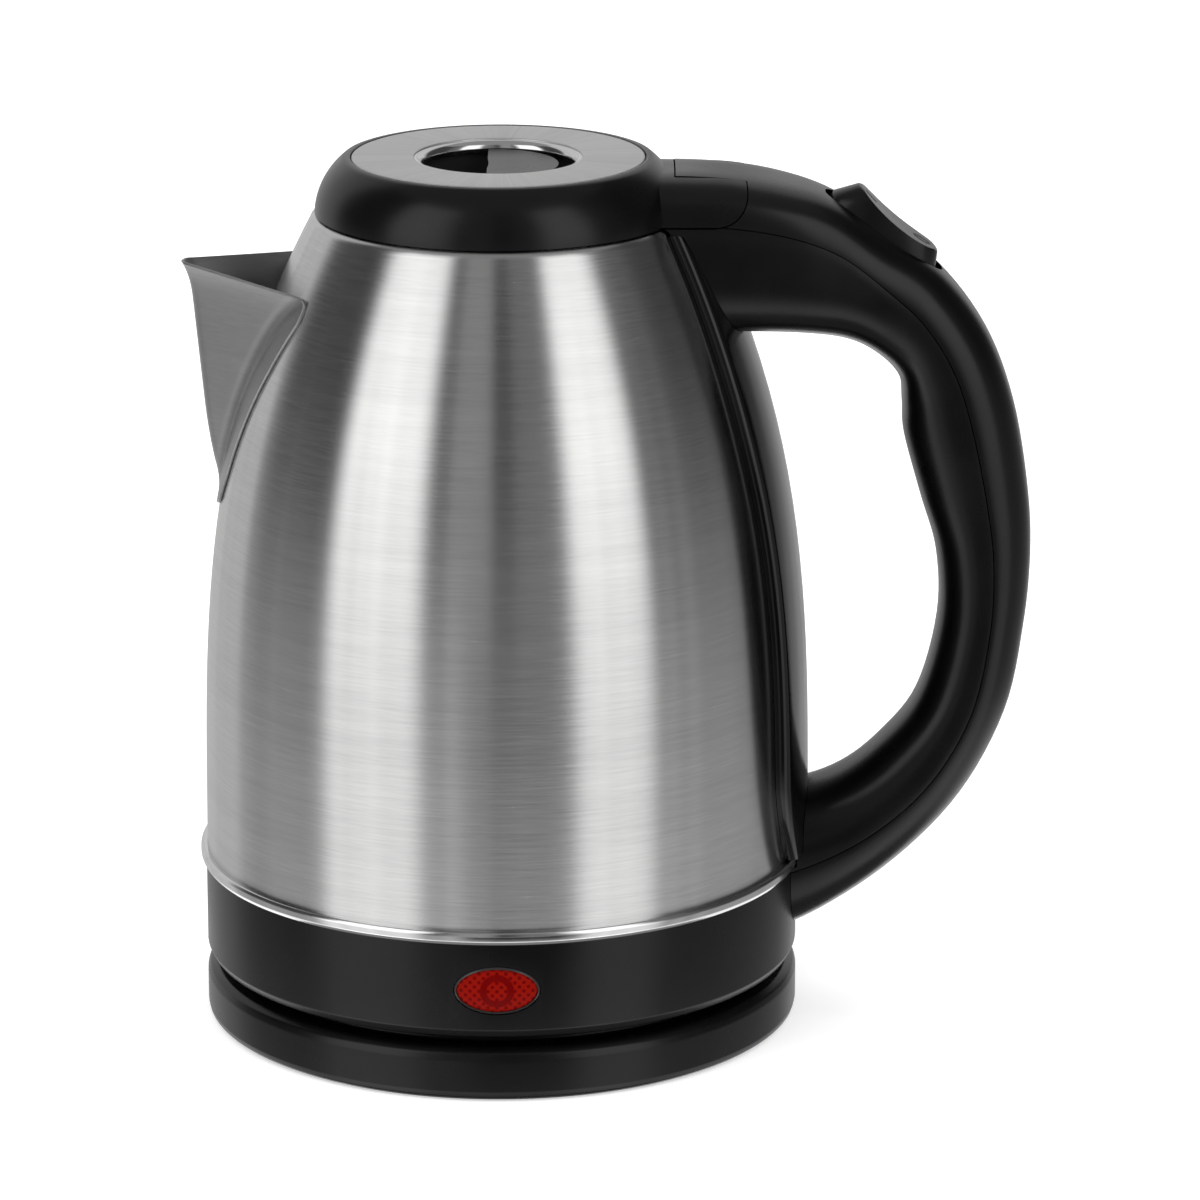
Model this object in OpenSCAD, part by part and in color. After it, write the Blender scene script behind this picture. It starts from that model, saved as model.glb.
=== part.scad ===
// Cordless electric kettle: a steel vessel with a welded spout, a hinged lid with a pull latch,
// a closed loop handle with a rocker switch, and a round power base that it turns on.
// Millimetres. The kettle's axis is the Z axis, the handle points to +X, the spout to -X,
// and the indicator faces -Y. The base stands on z = 0.

/* [Power base] */
// outer radius of the base
base_r = 77.8; // [70:0.1:90]
// height of the base's rim
base_top_z = 14; // [10:0.5:20]
// wall of the base's mouldings
base_wall = 2.2; // [1.5:0.1:4]
// radius of the connector post
post_r = 16.4; // [14:0.1:20]
// top of the connector post
post_top_z = 33; // [28:0.5:36]

/* [Vessel] */
// radius of the steel wall at its foot
wall_r = 77.4; // [70:0.1:85]
// how much the wall leans in per mm of height
wall_lean = 0.0065; // [0:0.0005:0.02]
// thickness of the steel
steel_t = 0.7; // [0.5:0.1:1.2]
// height at which the shoulder begins to bend
bend_z = 60; // [50:1:90]
// height of the top of the shoulder
rim_z = 212; // [180:1:240]
// how far the shoulder draws in
shoulder_drop = 27.75; // [10:0.25:40]
// how sharply the shoulder bends
shoulder_power = 2.82; // [1.5:0.05:4]
// radius of the mouth in the rolled rim
mouth_r = 43; // [35:0.5:50]
// diameter of a strainer hole behind the spout
strainer_d = 3.4; // [2:0.1:5]

/* [Skirt and floor] */
// underside of the skirt
skirt_z = 17; // [15:0.5:20]
// top of the skirt, where the trim ring sits
skirt_top_z = 42.3; // [38:0.1:50]
// outer radius of the skirt
skirt_r = 77.7; // [70:0.1:85]
// width of the indicator lens
lens_w = 20.4; // [10:0.1:30]
// height of the indicator lens
lens_h = 11.2; // [6:0.1:16]
// height of the lens's centre
lens_z = 30; // [24:0.5:36]

/* [Spout] */
// height at which the ridge leaves the body
ridge_foot_z = 141; // [120:1:160]
// lean of the ridge from upright, degrees
ridge_lean = 9; // [0:0.5:20]
// half the angle between the two walls
spout_half_angle = 40.3; // [25:0.1:60]
// radius of the rounded ridge
nose_r = 5; // [2:0.5:10]
// thickness of the spout's sheet
spout_t = 1; // [0.6:0.1:2]
// height of the lip at the tip
tip_z = 201; // [190:0.5:210]
// fall of the lip towards the body, degrees
lip_fall = 6.5; // [0:0.5:20]

/* [Lid] */
// radius of the lid at its lower edge
lid_r = 47.1; // [40:0.1:55]
// height of the lid's top
lid_top_z = 228.4; // [220:0.1:240]
// underside of the lid's wall
lid_foot_z = 214.3; // [210:0.1:220]
// radius of the steel disc
disc_r = 37.3; // [30:0.1:45]
// radius of the finger hole
hole_r = 21.5; // [15:0.1:28]
// radius of the latch pad
pad_r = 18; // [12:0.1:20]
// travel of the latch
latch_travel = 4.5; // [2:0.5:6]

/* [Hinge] */
// hinge pin's distance from the kettle's axis
pin_x = 55.4; // [50:0.1:60]
// height of the hinge pin
pin_z = 222.3; // [215:0.1:225]
// radius of the hinge pin
pin_r = 1.25; // [1:0.05:2]
// half the width of the tongue between the cheeks
tongue_half = 10.5; // [8:0.1:20]
// radius of the knuckle round the pin
knuckle_r = 2.4; // [2:0.1:5]
// length of the knuckle
knuckle_l = 17; // [10:0.5:32]

/* [Handle] */
// wall of the handle's mouldings
handle_wall = 2.6; // [1.5:0.1:4]
// how far the saddle stands off the steel
saddle_t = 3.4; // [2:0.1:6]
// half the saddle's width over most of its height
saddle_half_w = 31; // [20:0.5:40]
// half the saddle's width at its top
saddle_half_top = 23.5; // [18:0.5:40]
// half the saddle's width at its foot
saddle_half_foot = 24; // [15:0.5:35]

/* [Switch] */
// tilt of the rocker at rest, degrees
rocker_tilt = 5; // [2:0.1:12]
// half the rocker's length
rocker_half_l = 17; // [10:0.1:22]
// half the rocker's width
rocker_half_w = 8.6; // [5:0.1:12]

/* [Hidden] */
$fn = 96;
eps = 0.01;

// Stations along the handle, from the head inside the lid's side to the foot at the skirt. Each row
// holds the outer edge's x and z, the inner edge's x and z, half the width, and the seam's place as
// a share of the way from the outer edge to the inner one.
stations = [
    [38, 225.9, 40, 184.8, 22, 0.27],
    [56, 225.3, 60, 184.7, 22, 0.27],
    [72, 222.9, 77.5, 184.1, 21, 0.29],
    [86, 218.2, 89.6, 182.1, 19.2, 0.33],
    [100, 208.8, 97.7, 177.6, 17.6, 0.38],
    [113.7, 199.2, 103, 171.4, 16.4, 0.43],
    [125.5, 183.5, 104, 163.7, 15.6, 0.42],
    [132.8, 164.5, 104.6, 155.5, 15.2, 0.41],
    [136.9, 141.5, 109, 139.4, 15, 0.41],
    [137.9, 123.5, 113.4, 124, 15, 0.42],
    [136.4, 104.1, 113.9, 106, 15, 0.42],
    [132, 81.6, 108.7, 85.5, 15.2, 0.41],
    [120.7, 59.3, 99.2, 72.9, 15.6, 0.4],
    [103.9, 41.2, 88.8, 64.4, 16.2, 0.43],
    [83.7, 27.1, 76.2, 60, 17, 0.46],
    [61.8, 16.9, 60, 59.8, 17.4, 0.46],
];
sections_per_station = 3;

// Centre of the rocker's seat on the handle, its lean, and the pivot's depth below the seat.
seat_x = 99;
seat_z = 209.5;
seat_lean = 35.3;
pivot_depth = 8;
pivot_r = 1.6;
pocket_gap = 0.6;

// Heights inside the kettle.
steel_foot_z = 42.4;
floor_z = 46.2;
floor_t = 1.2;
diffuser_z = 41.8;
cover_z = 18.6;
socket_r = 19;
socket_z = 19.2;
running = 0.06;
cheek_r = 7.9;
duct_z = 201.5;

// Radius of the steel vessel's outside at a height.
function body_r(z) = wall_r - wall_lean * max(0, z - floor_z)
    - shoulder_drop * pow(max(0, z - bend_z) / (rim_z - bend_z), shoulder_power);

// Heights of the rings that the vessel's profile is drawn through, closer together near the top.
function wall_heights(n) = [for (i = [0 : n]) floor_z + (rim_z - floor_z) * sin(90 * i / n)];

// The vessel's outside, moved outwards by d, from its foot to the rolled rim.
function vessel_outline(d, n = 18) = concat(
    [[wall_r + d, steel_foot_z]],
    [for (z = wall_heights(n)) [body_r(z) + d, z]],
    [[47.7 + d, 213.3 + d / 2], [46.6 + d / 2, 213.9 + d]]
);

// A profile drawn in x and z, given a depth along Y.
module across(depth) rotate([90, 0, 0]) linear_extrude(depth, center = true) children();

// A profile drawn in y and z, given a length along X from x = 0.
module along_x(length) rotate([90, 0, 90]) linear_extrude(length) children();

// A rod along Y through a point of the x-z plane.
module rod_y(x, z, r, length) translate([x, 0, z]) rotate([90, 0, 0])
    cylinder(r = r, h = length, center = true);

// A screw with a domed head at its lower end, pointing up.
module screw_up(r, length) {
    cylinder(r = r, h = length);
    cylinder(r1 = r * 1.6, r2 = r * 2, h = 0.8);
    translate([0, 0, 0.8]) cylinder(r = r * 2, h = 0.9);
}

// ---- power base ----

gland_y = base_r - 1;
gland_z = 6.6;
plate_screw_r = 62;

module base_shell() color("dimgray") difference() {
    rotate_extrude() polygon([
        [base_r - 1.4, 0.3], [base_r - 0.3, 1.2], [base_r, 2.6], [base_r, base_top_z - 3.4],
        [base_r - 0.6, base_top_z - 1.5], [base_r - 2.4, base_top_z], [71, base_top_z],
        [69.4, base_top_z + 4.2], [66, base_top_z + 4.2], [64.5, base_top_z - 0.6],
        [26, base_top_z - 1.2], [24, base_top_z + 2.4], [19, base_top_z + 2.4], [18, base_top_z],
        [18, 11], [60, 11], [base_r - base_wall - 1.2, 11.6], [base_r - base_wall, 9.4],
        [base_r - base_wall, 0.3],
    ]);
    translate([0, gland_y, gland_z]) rotate([90, 0, 0]) cylinder(r = 5.1, h = 12, center = true);
}

module base_plate() color("dimgray") difference() {
    union() {
        translate([0, 0, 0.3]) cylinder(r = base_r - base_wall - 0.2, h = 1.9);
        for (a = [45 : 90 : 315]) rotate(a) translate([plate_screw_r, 0, 2])
            cylinder(r = 3.4, h = 8.9);
        translate([0, 0, 2]) cylinder(r = 22, h = 5);
    }
    for (a = [45 : 90 : 315]) rotate(a) translate([plate_screw_r, 0, -1]) {
        cylinder(r = 1.55, h = 10);
        cylinder(r = 3.6, h = 3);
    }
    for (a = [0 : 90 : 270]) rotate(a) translate([52, 0, -1]) cylinder(r = 6.05, h = 2.2);
    translate([0, 0, 2.2]) cylinder(r = 19.5, h = 6);
    for (a = [-24 : 12 : 24]) rotate(a) translate([30, 0, -1]) cylinder(r = 1.2, h = 4);
}

module base_pads() color("black")
    for (a = [0 : 90 : 270]) rotate(a) translate([52, 0, 0]) cylinder(r = 6, h = 1.2);

module base_screws() color("silver")
    for (a = [45 : 90 : 315]) rotate(a) translate([plate_screw_r, 0, 0.3]) screw_up(1.5, 8.4);

module base_post() color("black") difference() {
    union() {
        translate([0, 0, 2.25]) cylinder(r = 19.4, h = 7.9);
        translate([0, 0, 10]) cylinder(r = post_r, h = post_top_z - 11.2);
        translate([0, 0, post_top_z - 1.21]) cylinder(r1 = post_r, r2 = post_r - 1.2, h = 1.2);
    }
    translate([0, 0, 12]) difference() {
        cylinder(r = 12.6, h = 30);
        translate([0, 0, -1]) cylinder(r = 9.4, h = 40);
    }
    translate([0, 0, 12]) cylinder(r = 3.2, h = 30);
}

module base_contacts() color("goldenrod") {
    translate([0, 0, 12]) difference() {
        cylinder(r = 12.55, h = 6);
        translate([0, 0, -1]) cylinder(r = 11.9, h = 8);
    }
    translate([0, 0, 12]) difference() {
        cylinder(r = 3.15, h = 8);
        translate([0, 0, 1]) cylinder(r = 2.6, h = 8);
    }
}

module cord_gland() color("black") translate([0, gland_y, gland_z]) rotate([90, 0, 0])
    difference() {
        union() {
            cylinder(r = 5, h = 6, center = true);
            translate([0, 0, -2]) cylinder(r = 6.2, h = 1.6, center = true);
            translate([0, 0, 2.4]) cylinder(r = 6.2, h = 1.2, center = true);
        }
        cylinder(r = 3.4, h = 12, center = true);
        for (side = [-1, 1]) translate([-8, side > 0 ? 4.1 : -12.1, 1.3]) cube([16, 8, 8]);
    }

// ---- socket that turns on the post ----

module socket_cup() color("black") difference() {
    union() {
        translate([0, 0, socket_z]) cylinder(r = socket_r, h = 16.3);
    }
    translate([0, 0, socket_z - 1]) cylinder(r = post_r + 0.4, h = 15.2);
}

module socket_contacts() color("goldenrod") {
    translate([0, 0, 19]) difference() {
        cylinder(r = 11.5, h = 14.4);
        translate([0, 0, -1]) cylinder(r = 10.7, h = 20);
    }
    translate([0, 0, 17]) cylinder(r = 2.2, h = 16.4);
    translate([0, 0, 16.2]) cylinder(r1 = 1.4, r2 = 2.2, h = 0.81);
}

// ---- vessel ----

module strainer_holes() for (row = [0 : 4], column = [-2 : 2])
    translate([-80, (column + (row % 2) / 2 - 0.25) * 6, 165 + row * 6.4])
        rotate([0, 90, 0]) cylinder(r = strainer_d / 2, h = 34, $fn = 24);

module body_shell() color("silver") difference() {
    rotate_extrude() polygon(concat(
        vessel_outline(0),
        [[mouth_r, 213.9], [mouth_r, 213.2], [46.3, 213.2]],
        [for (i = [18 : -1 : 0]) let (z = wall_heights(18)[i]) [body_r(z) - steel_t, z]],
        [[wall_r - steel_t, steel_foot_z]]
    ));
    strainer_holes();
    translate([46, 0, duct_z]) rotate([0, 90, 0]) cylinder(r = 4.2, h = 14);
}

// The spout's wedge, with its ridge's centre line on the plane y = 0, moved in by d.
module spout_wedge(d) {
    foot_x = -body_r(ridge_foot_z) + nose_r;
    translate([foot_x, 0, ridge_foot_z]) rotate([0, -ridge_lean, 0]) translate([0, 0, -20])
        linear_extrude(100) union() {
            circle(r = nose_r - d);
            polygon([
                [-(nose_r - d) * sin(spout_half_angle), (nose_r - d) * cos(spout_half_angle)],
                [50 - (nose_r - d) * sin(spout_half_angle),
                 (nose_r - d) * cos(spout_half_angle) + 50 * tan(spout_half_angle)],
                [50 - (nose_r - d) * sin(spout_half_angle),
                 -(nose_r - d) * cos(spout_half_angle) - 50 * tan(spout_half_angle)],
                [-(nose_r - d) * sin(spout_half_angle), -(nose_r - d) * cos(spout_half_angle)],
            ]);
        }
}

module below_lip() translate([-82, 0, tip_z]) rotate([0, lip_fall, 0])
    translate([-20, -60, -100]) cube([90, 120, 100]);

// Outline of the weld flange seen from the front of the spout, in y and z.
flange_outline = [
    [0, 134], [6, 135.2], [10.5, 139], [14.9, 147.9], [21.3, 165.9], [25.8, 178],
    [28.6, 186.7], [30.4, 191.5], [30.2, 194.5], [28.5, 196.8],
];

module flange() intersection() {
    difference() {
        rotate_extrude() polygon(concat(
            [for (z = wall_heights(18)) [body_r(z) + 0.8, z]],
            [for (i = [18 : -1 : 0]) let (z = wall_heights(18)[i]) [body_r(z), z]]
        ));
    }
    translate([-90, 0, 0]) along_x(60) polygon(concat(
        flange_outline,
        [for (i = [len(flange_outline) - 1 : -1 : 1])
            [-flange_outline[i][0], flange_outline[i][1]]]
    ));
}

module spout() color("silver") difference() {
    union() {
        intersection() {
            spout_wedge(0);
            below_lip();
            translate([-90, -40, ridge_foot_z - 8]) cube([60, 80, 80]);
        }
        flange();
    }
    spout_wedge(spout_t);
    rotate_extrude() polygon(concat(
        [[0, steel_foot_z]], [for (z = wall_heights(18)) [body_r(z), z]], [[0, rim_z]]
    ));
}

module collar() color("black") difference() {
    union() {
        translate([0, 0, 204]) cylinder(r = mouth_r - 0.2, h = 10);
        translate([0, 0, 213.95]) cylinder(r = 44.2, h = 0.65);
        for (a = [0 : 60 : 300]) rotate(a) translate([mouth_r - 1, -3, 211.6]) cube([2, 6, 1.5]);
    }
    translate([0, 0, 200]) cylinder(r = 41, h = 20);
    translate([-44, -5, 207]) cube([6, 10, 3.4]);
}

// ---- floor, heater and skirt ----

module heater_plate() color("silver") rotate_extrude() polygon([
    [0, floor_z], [75.2, floor_z], [76.6, floor_z - 1.2], [76.6, steel_foot_z + 0.1],
    [75.6, steel_foot_z + 0.1], [75.6, floor_z - 2], [74.8, floor_z - floor_t],
    [0, floor_z - floor_t],
]);

module diffuser() color("gray") translate([0, 0, diffuser_z])
    cylinder(r = 56, h = floor_z - floor_t - diffuser_z);

module heating_element() color("slategray") {
    rotate([0, 0, 25]) rotate_extrude(angle = 310) translate([42, 38.25]) circle(r = 3.5, $fn = 32);
    for (side = [-1, 1]) rotate([0, 0, side * 25]) translate([42, 0, 27])
        cylinder(r = 1.2, h = 11.3, $fn = 32);
}

module trim_ring() color("silver") rotate_extrude() polygon([
    [wall_r + 0.02, 42.4], [78.6, 42.4], [79, 43], [79.15, 44], [79, 45], [78.4, 45.7],
    [wall_r + 0.02, 45.7],
]);

module lens_outline(grow) translate([0, lens_z])
    scale([(lens_w / 2 + grow) / 10, (lens_h / 2 + grow) / 10]) circle(r = 10);

// Anything drawn in x and z on the front of the skirt, kept between two radii.
module on_skirt(r_in, r_out) intersection() {
    difference() {
        translate([0, 0, skirt_z]) cylinder(r = r_out, h = skirt_top_z - skirt_z);
        translate([0, 0, skirt_z - 1]) cylinder(r = r_in, h = skirt_top_z);
    }
    translate([0, -70, 0]) across(24) children();
}

module skirt() color("dimgray") difference() {
    rotate_extrude() polygon([
        [skirt_r - 2, skirt_z], [skirt_r - 0.6, skirt_z + 0.8], [skirt_r, skirt_z + 2.6],
        [skirt_r, skirt_top_z - 0.4], [skirt_r - 0.4, skirt_top_z], [62, skirt_top_z],
        [62, skirt_top_z - 2], [skirt_r - 2.4, skirt_top_z - 2.4], [skirt_r - 2.4, skirt_z],
    ]);
    translate([0, -70, 0]) across(24) lens_outline(1.1);
    for (a = [60 : 120 : 300]) rotate(a) translate([68, 0, 36]) cylinder(r = 1.55, h = 10);
}

module lens() color("red") on_skirt(skirt_r - 2, skirt_r + 0.5) lens_outline(0);

module lens_rim() color("gray") on_skirt(skirt_r - 1.8, skirt_r + 0.3) difference() {
    lens_outline(1);
    lens_outline(0.1);
}

module lamp() color("orange") {
    translate([-6, -71, lens_z]) rotate([0, 90, 0]) cylinder(r = 2.4, h = 12);
    translate([-9, -71, lens_z]) rotate([0, 90, 0]) cylinder(r = 0.5, h = 18);
}

module bottom_cover() color("dimgray") difference() {
    union() {
        translate([0, 0, cover_z]) cylinder(r = skirt_r - 2.6, h = 2);
        for (a = [60 : 120 : 300]) rotate(a) translate([68, 0, cover_z]) cylinder(r = 4, h = 21.1);
    }
    translate([0, 0, cover_z - 1]) cylinder(r = socket_r + 0.8, h = 6);
    for (a = [60 : 120 : 300]) rotate(a) translate([68, 0, cover_z - 1]) {
        cylinder(r = 1.55, h = 30);
        cylinder(r = 3.3, h = 3);
    }
}

module cover_screws() color("silver") for (a = [60 : 120 : 300]) rotate(a)
    translate([68, 0, cover_z + 0.2]) screw_up(1.5, 22.8);

module thermostat() color("ivory") difference() {
    union() {
        translate([0, 0, 22]) cylinder(r = 27, h = 18);
        translate([-34, -9, 24]) cube([16, 18, 14]);
        translate([16, -7, 24]) cube([16, 14, 12]);
    }
    translate([0, 0, 21]) cylinder(r = socket_r + running, h = 15);
    for (a = [-90, 90]) rotate(a) translate([15, 0, 38.8]) cylinder(r = 8.2, h = 2);
}

module bimetal_discs() color("tan") for (a = [-90, 90]) rotate(a) translate([15, 0, 39.2]) {
    cylinder(r1 = 8, r2 = 7.4, h = 0.6);
    cylinder(r = 1, h = 2.5);
}

// ---- handle ----

function mix(a, b, t) = a * (1 - t) + b * t;

// A smooth curve through the stations.
function station(k) = stations[min(max(k, 0), len(stations) - 1)];
function spline(k, t) = let (a = station(k - 1), b = station(k), c = station(k + 1), d = station(k + 2))
    0.5 * (2 * b + (c - a) * t + (2 * a - 5 * b + 4 * c - d) * t * t
           + (3 * b - a - 3 * c + d) * t * t * t);
handle_path = concat(
    [for (k = [0 : len(stations) - 2], j = [0 : sections_per_station - 1])
        spline(k, j / sections_per_station)],
    [stations[len(stations) - 1]]
);
path_end = len(handle_path) - 1;

// Half-depth of a station, and the roundness of its section.
function half_depth(s) = norm([s[0] - s[2], s[1] - s[3]]) / 2;
function roundness(s) = 2.4 + (s[4] - 15) / 5;

// Half the section's width at a depth u, which is positive towards the outer edge.
function section_w(s, inset, u) = max(0.05, (s[4] - inset)
    * pow(max(0, 1 - pow(abs(u) / (half_depth(s) - inset), roundness(s))), 1 / roundness(s)));

// One ring of the loft: the part of a rounded section between two depths, in its place.
function ring(s, inset, u_from, u_to, m = 11) =
    let (h = half_depth(s) - inset, top = min(u_to, h), foot = max(u_from, -h),
         a = [s[0] - s[2], s[1] - s[3]] / (2 * half_depth(s)),
         c = [s[0] + s[2], s[1] + s[3]] / 2,
         us = [for (i = [0 : m]) foot + (top - foot) * (1 - cos(180 * i / m)) / 2])
    concat([for (u = us) [c[0] + a[0] * u, section_w(s, inset, u), c[1] + a[1] * u]],
           [for (i = [m : -1 : 0]) let (u = us[i])
               [c[0] + a[0] * u, -section_w(s, inset, u), c[1] + a[1] * u]]);

// A closed skin over rings that all have the same number of points.
module loft(rings) {
    n = len(rings[0]);
    last = (len(rings) - 1) * n;
    polyhedron(
        [for (r = rings) each r],
        concat(
            [[for (i = [0 : n - 1]) i], [for (i = [n - 1 : -1 : 0]) last + i]],
            [for (k = [0 : n : last - n], i = [0 : n - 1]) let (j = (i + 1) % n)
                each [[k + j, k + i, k + n + i], [k + j, k + n + i, k + n + j]]]
        )
    );
}

// The seam's depth in a section.
function seam(s) = half_depth(s) * (1 - 2 * s[5]);

module cover_loft(inset, from, to) loft([for (k = [from : to]) let (s = handle_path[k])
    ring(s, inset, seam(s) + (inset > 0 ? -1 : 0.02), 99)]);

module inner_loft(inset, from, to) loft([for (k = [from : to]) let (s = handle_path[k])
    ring(s, inset, -99, seam(s) + (inset > 0 ? 1 : -0.02))]);

// Everything of the kettle's that the handle fits round.
module handle_seat() rotate_extrude() polygon(concat(
    [[0, 0], [skirt_r + 0.1, 0], [skirt_r + 0.1, 42.3], [79.3, 42.3], [79.3, 45.9], [80.9, 46.2]],
    [for (z = wall_heights(18)) if (z > 47) [body_r(z) + saddle_t + 0.12, z]],
    [[49, 212.7], [48.5, 213.4], [47.6, 214], [0, 214]]
));

// Room for the lid, its cheeks and its swing.
module lid_room() {
    difference() {
        translate([0, 0, 214]) cylinder(r = lid_r + 0.4, h = 20);
        translate([pin_x - 12, -tongue_half, 210]) cube([12, 2 * tongue_half, 30]);
    }
    for (side = [-1, 1]) {
        translate([40, side > 0 ? tongue_half : -tongue_half - 20, 214])
            cube([pin_x - 40, 20, 20]);
        translate([pin_x, side * (tongue_half + 10), pin_z]) rotate([90, 0, 0])
            cylinder(r = cheek_r + 0.3, h = 20, center = true);
    }
    difference() {
        translate([30, -tongue_half - 1, 214]) cube([pin_x - 30, 2 * tongue_half + 2, 20]);
        rod_y(pin_x, pin_z, 10.7, 60);
    }
}

module in_seat(depth = 0) translate([seat_x, 0, seat_z]) rotate([0, seat_lean, 0])
    translate([0, 0, -depth]) children();

// One ring of the rocker: a blunt oval, at a height above the pivot.
function oval_ring(half_l, half_w, z = 0) = [for (a = [0 : 10 : 350])
    [half_l * sign(cos(a)) * pow(abs(cos(a)), 0.8), half_w * sign(sin(a)) * pow(abs(sin(a)), 0.8), z]];

module handle_cover() color("#1a1a1a") difference() {
    cover_loft(0, 0, path_end);
    handle_seat();
    lid_room();
    cover_loft(handle_wall, 5, path_end - 3);
    in_seat(8.5) loft([for (z = [0, 30])
        oval_ring(rocker_half_l + 2 * pocket_gap, rocker_half_w + pocket_gap, z)]);
    rod_y(pin_x, pin_z, knuckle_r + 0.05, knuckle_l + 0.1);
    rod_y(pin_x, pin_z, pin_r + 0.3, 60);
    handle_screw_holes();
}

module handle_inner() color("#222222") difference() {
    inner_loft(0, 0, path_end);
    handle_seat();
    lid_room();
    inner_loft(handle_wall, 3, path_end - 3);
    handle_screw_holes();
    translate([46, 0, duct_z]) rotate([0, 90, 0]) cylinder(r = 4.2, h = 34);
}

// Half the saddle's width at a height: even for most of it, and drawn in towards both ends.
function saddle_half(z) = saddle_half_w
    - (saddle_half_w - saddle_half_top) * pow(max(0, (z - 150) / 60), 2)
    - (saddle_half_w - saddle_half_foot) * pow(max(0, (72 - z) / 25), 2);

// The saddle's outline at a height, with a rounded shoulder along each edge.
function saddle_ring(z) =
    let (r = body_r(z) + saddle_t, half = saddle_half(z), edge = asin(min(0.85, half / r)),
         drop = [[1, 2.7], [0.985, 1.9], [0.955, 0.85], [0.91, 0.2], [0.86, 0]],
         side = concat([for (d = drop) [edge * d[0], r - d[1]]], [[edge * 0.45, r]]))
    concat(
        [[30, -half * 0.7, z]],
        [for (p = side) [p[1] * cos(p[0]), -p[1] * sin(p[0]), z]],
        [[r, 0, z]],
        [for (i = [len(side) - 1 : -1 : 0]) let (p = side[i]) [p[1] * cos(p[0]), p[1] * sin(p[0]), z]],
        [[30, half * 0.7, z]]
    );

module saddle() color("#1d1d1d") difference() {
    loft([for (i = [0 : 14]) saddle_ring(mix(46.3, 212.4, sin(90 * i / 14)))]);
    rotate_extrude() polygon(concat(
        [[0, 40], [wall_r + 0.1, 40]],
        [for (z = wall_heights(18)) [body_r(z) + 0.1, z]],
        [[49, 213], [0, 213]]
    ));
    translate([46, 0, duct_z]) rotate([0, 90, 0]) cylinder(r = 4.2, h = 20);
}

pin_l = 2 * tongue_half + 5;
module hinge_pin() color("silver") rod_y(pin_x, pin_z, pin_r, pin_l);

// The knuckle that carries the hinge pin inside the tongue.
module knuckle() color("#333333") difference() {
    rod_y(pin_x, pin_z, knuckle_r, knuckle_l);
    rod_y(pin_x, pin_z, pin_r, 60);
}

// Places of the handle's screws, heads down: two under the head, a shorter one under the foot.
module head_screw_places() for (side = [-1, 1]) translate([68, side * 12, 187.3]) children();
module foot_screw_place() translate([83, 0, 31]) children();

module handle_screw_holes() {
    head_screw_places() cylinder(r = 1.55, h = 33.5);
    foot_screw_place() cylinder(r = 1.55, h = 23);
    for (side = [-1, 1]) translate([68, side * 12, 167.3]) cylinder(r = 3.4, h = 21.8);
    translate([83, 0, 11]) cylinder(r = 3.4, h = 21.8);
}

module handle_screws() color("silver") {
    head_screw_places() screw_up(1.5, 32.5);
    foot_screw_place() screw_up(1.5, 22);
}

// ---- steam switch inside the handle ----

module steam_switch() color("ivory") difference() {
    in_seat(pivot_depth) union() {
        translate([-7.3, -10, -16]) cube([15.8, 20, 5.5]);
        for (side = [-1, 1]) translate([0, side * 6.4, 0]) {
            translate([-2.6, -1.4, -11]) cube([5.2, 2.8, 11]);
            rotate([90, 0, 0]) cylinder(r = 2.6, h = 2.8, center = true);
        }
    }
    in_seat(pivot_depth) rotate([90, 0, 0]) cylinder(r = pivot_r + running, h = 40, center = true);
    in_seat(pivot_depth) translate([-4, -3, -14]) cube([8, 6, 8]);
}

module steam_disc() color("tan") translate([78.9, 0, duct_z]) rotate([0, 90, 0])
    cylinder(r = 4.4, h = 0.5);

module steam_duct() color("white") translate([54.6, 0, duct_z]) rotate([0, 90, 0]) difference() {
    cylinder(r = 4.1, h = 24);
    translate([0, 0, -1]) cylinder(r = 3, h = 26);
}

// ---- rocker ----

dish_r = 61;

module rocker() color("#141414") in_seat(pivot_depth) rotate([0, rocker_tilt, 0]) {
    difference() {
        loft([
            oval_ring(rocker_half_l, rocker_half_w - 0.2, 3), oval_ring(rocker_half_l, rocker_half_w, 7),
            oval_ring(rocker_half_l - 3.4, rocker_half_w - 1.2, 12.2),
            oval_ring(rocker_half_l - 4.1, rocker_half_w - 1.8, 12.6),
        ]);
        translate([0, 0, 11.4 + dish_r]) rotate([90, 0, 0]) cylinder(r = dish_r, h = 30, center = true);
    }
    translate([-2.2, -4.6, -1.6]) cube([4.4, 9.2, 5]);
    rotate([90, 0, 0]) cylinder(r = pivot_r, h = 15.2, center = true);
    translate([-1.4, -2.4, -9]) cube([2.8, 4.8, 9]);
}

// ---- lid ----

side_arc_r = 19;
side_arc_x = 28.16;
side_arc_z = 213.2;

function lid_side(d, n = 8) = let (
        from = atan2(lid_foot_z - side_arc_z, lid_r - side_arc_x),
        to = atan2(lid_top_z - side_arc_z - 0.3, 39.6 - side_arc_x))
    [for (i = [0 : n]) let (a = mix(from, to, i / n))
        [side_arc_x + (side_arc_r - d) * cos(a), max(lid_foot_z, side_arc_z + (side_arc_r - d) * sin(a))]];

// The arm's section in y and z: upright sides that round over into a crowned top.
arm_half = 22;
arm_top = 225.35;
arm_round = 3.8;
arm_slope = 1.2;
function arm_z(y) = arm_top - 22 + 22 * pow(1 - pow(abs(y) / arm_half, arm_round), 1 / arm_round);

module arm_section() polygon(concat(
    [[arm_half, 190]],
    [for (i = [0 : 20]) let (y = arm_half * cos(9 * i)) [y, arm_z(y)]],
    [[-arm_half, 190]]
));

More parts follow.
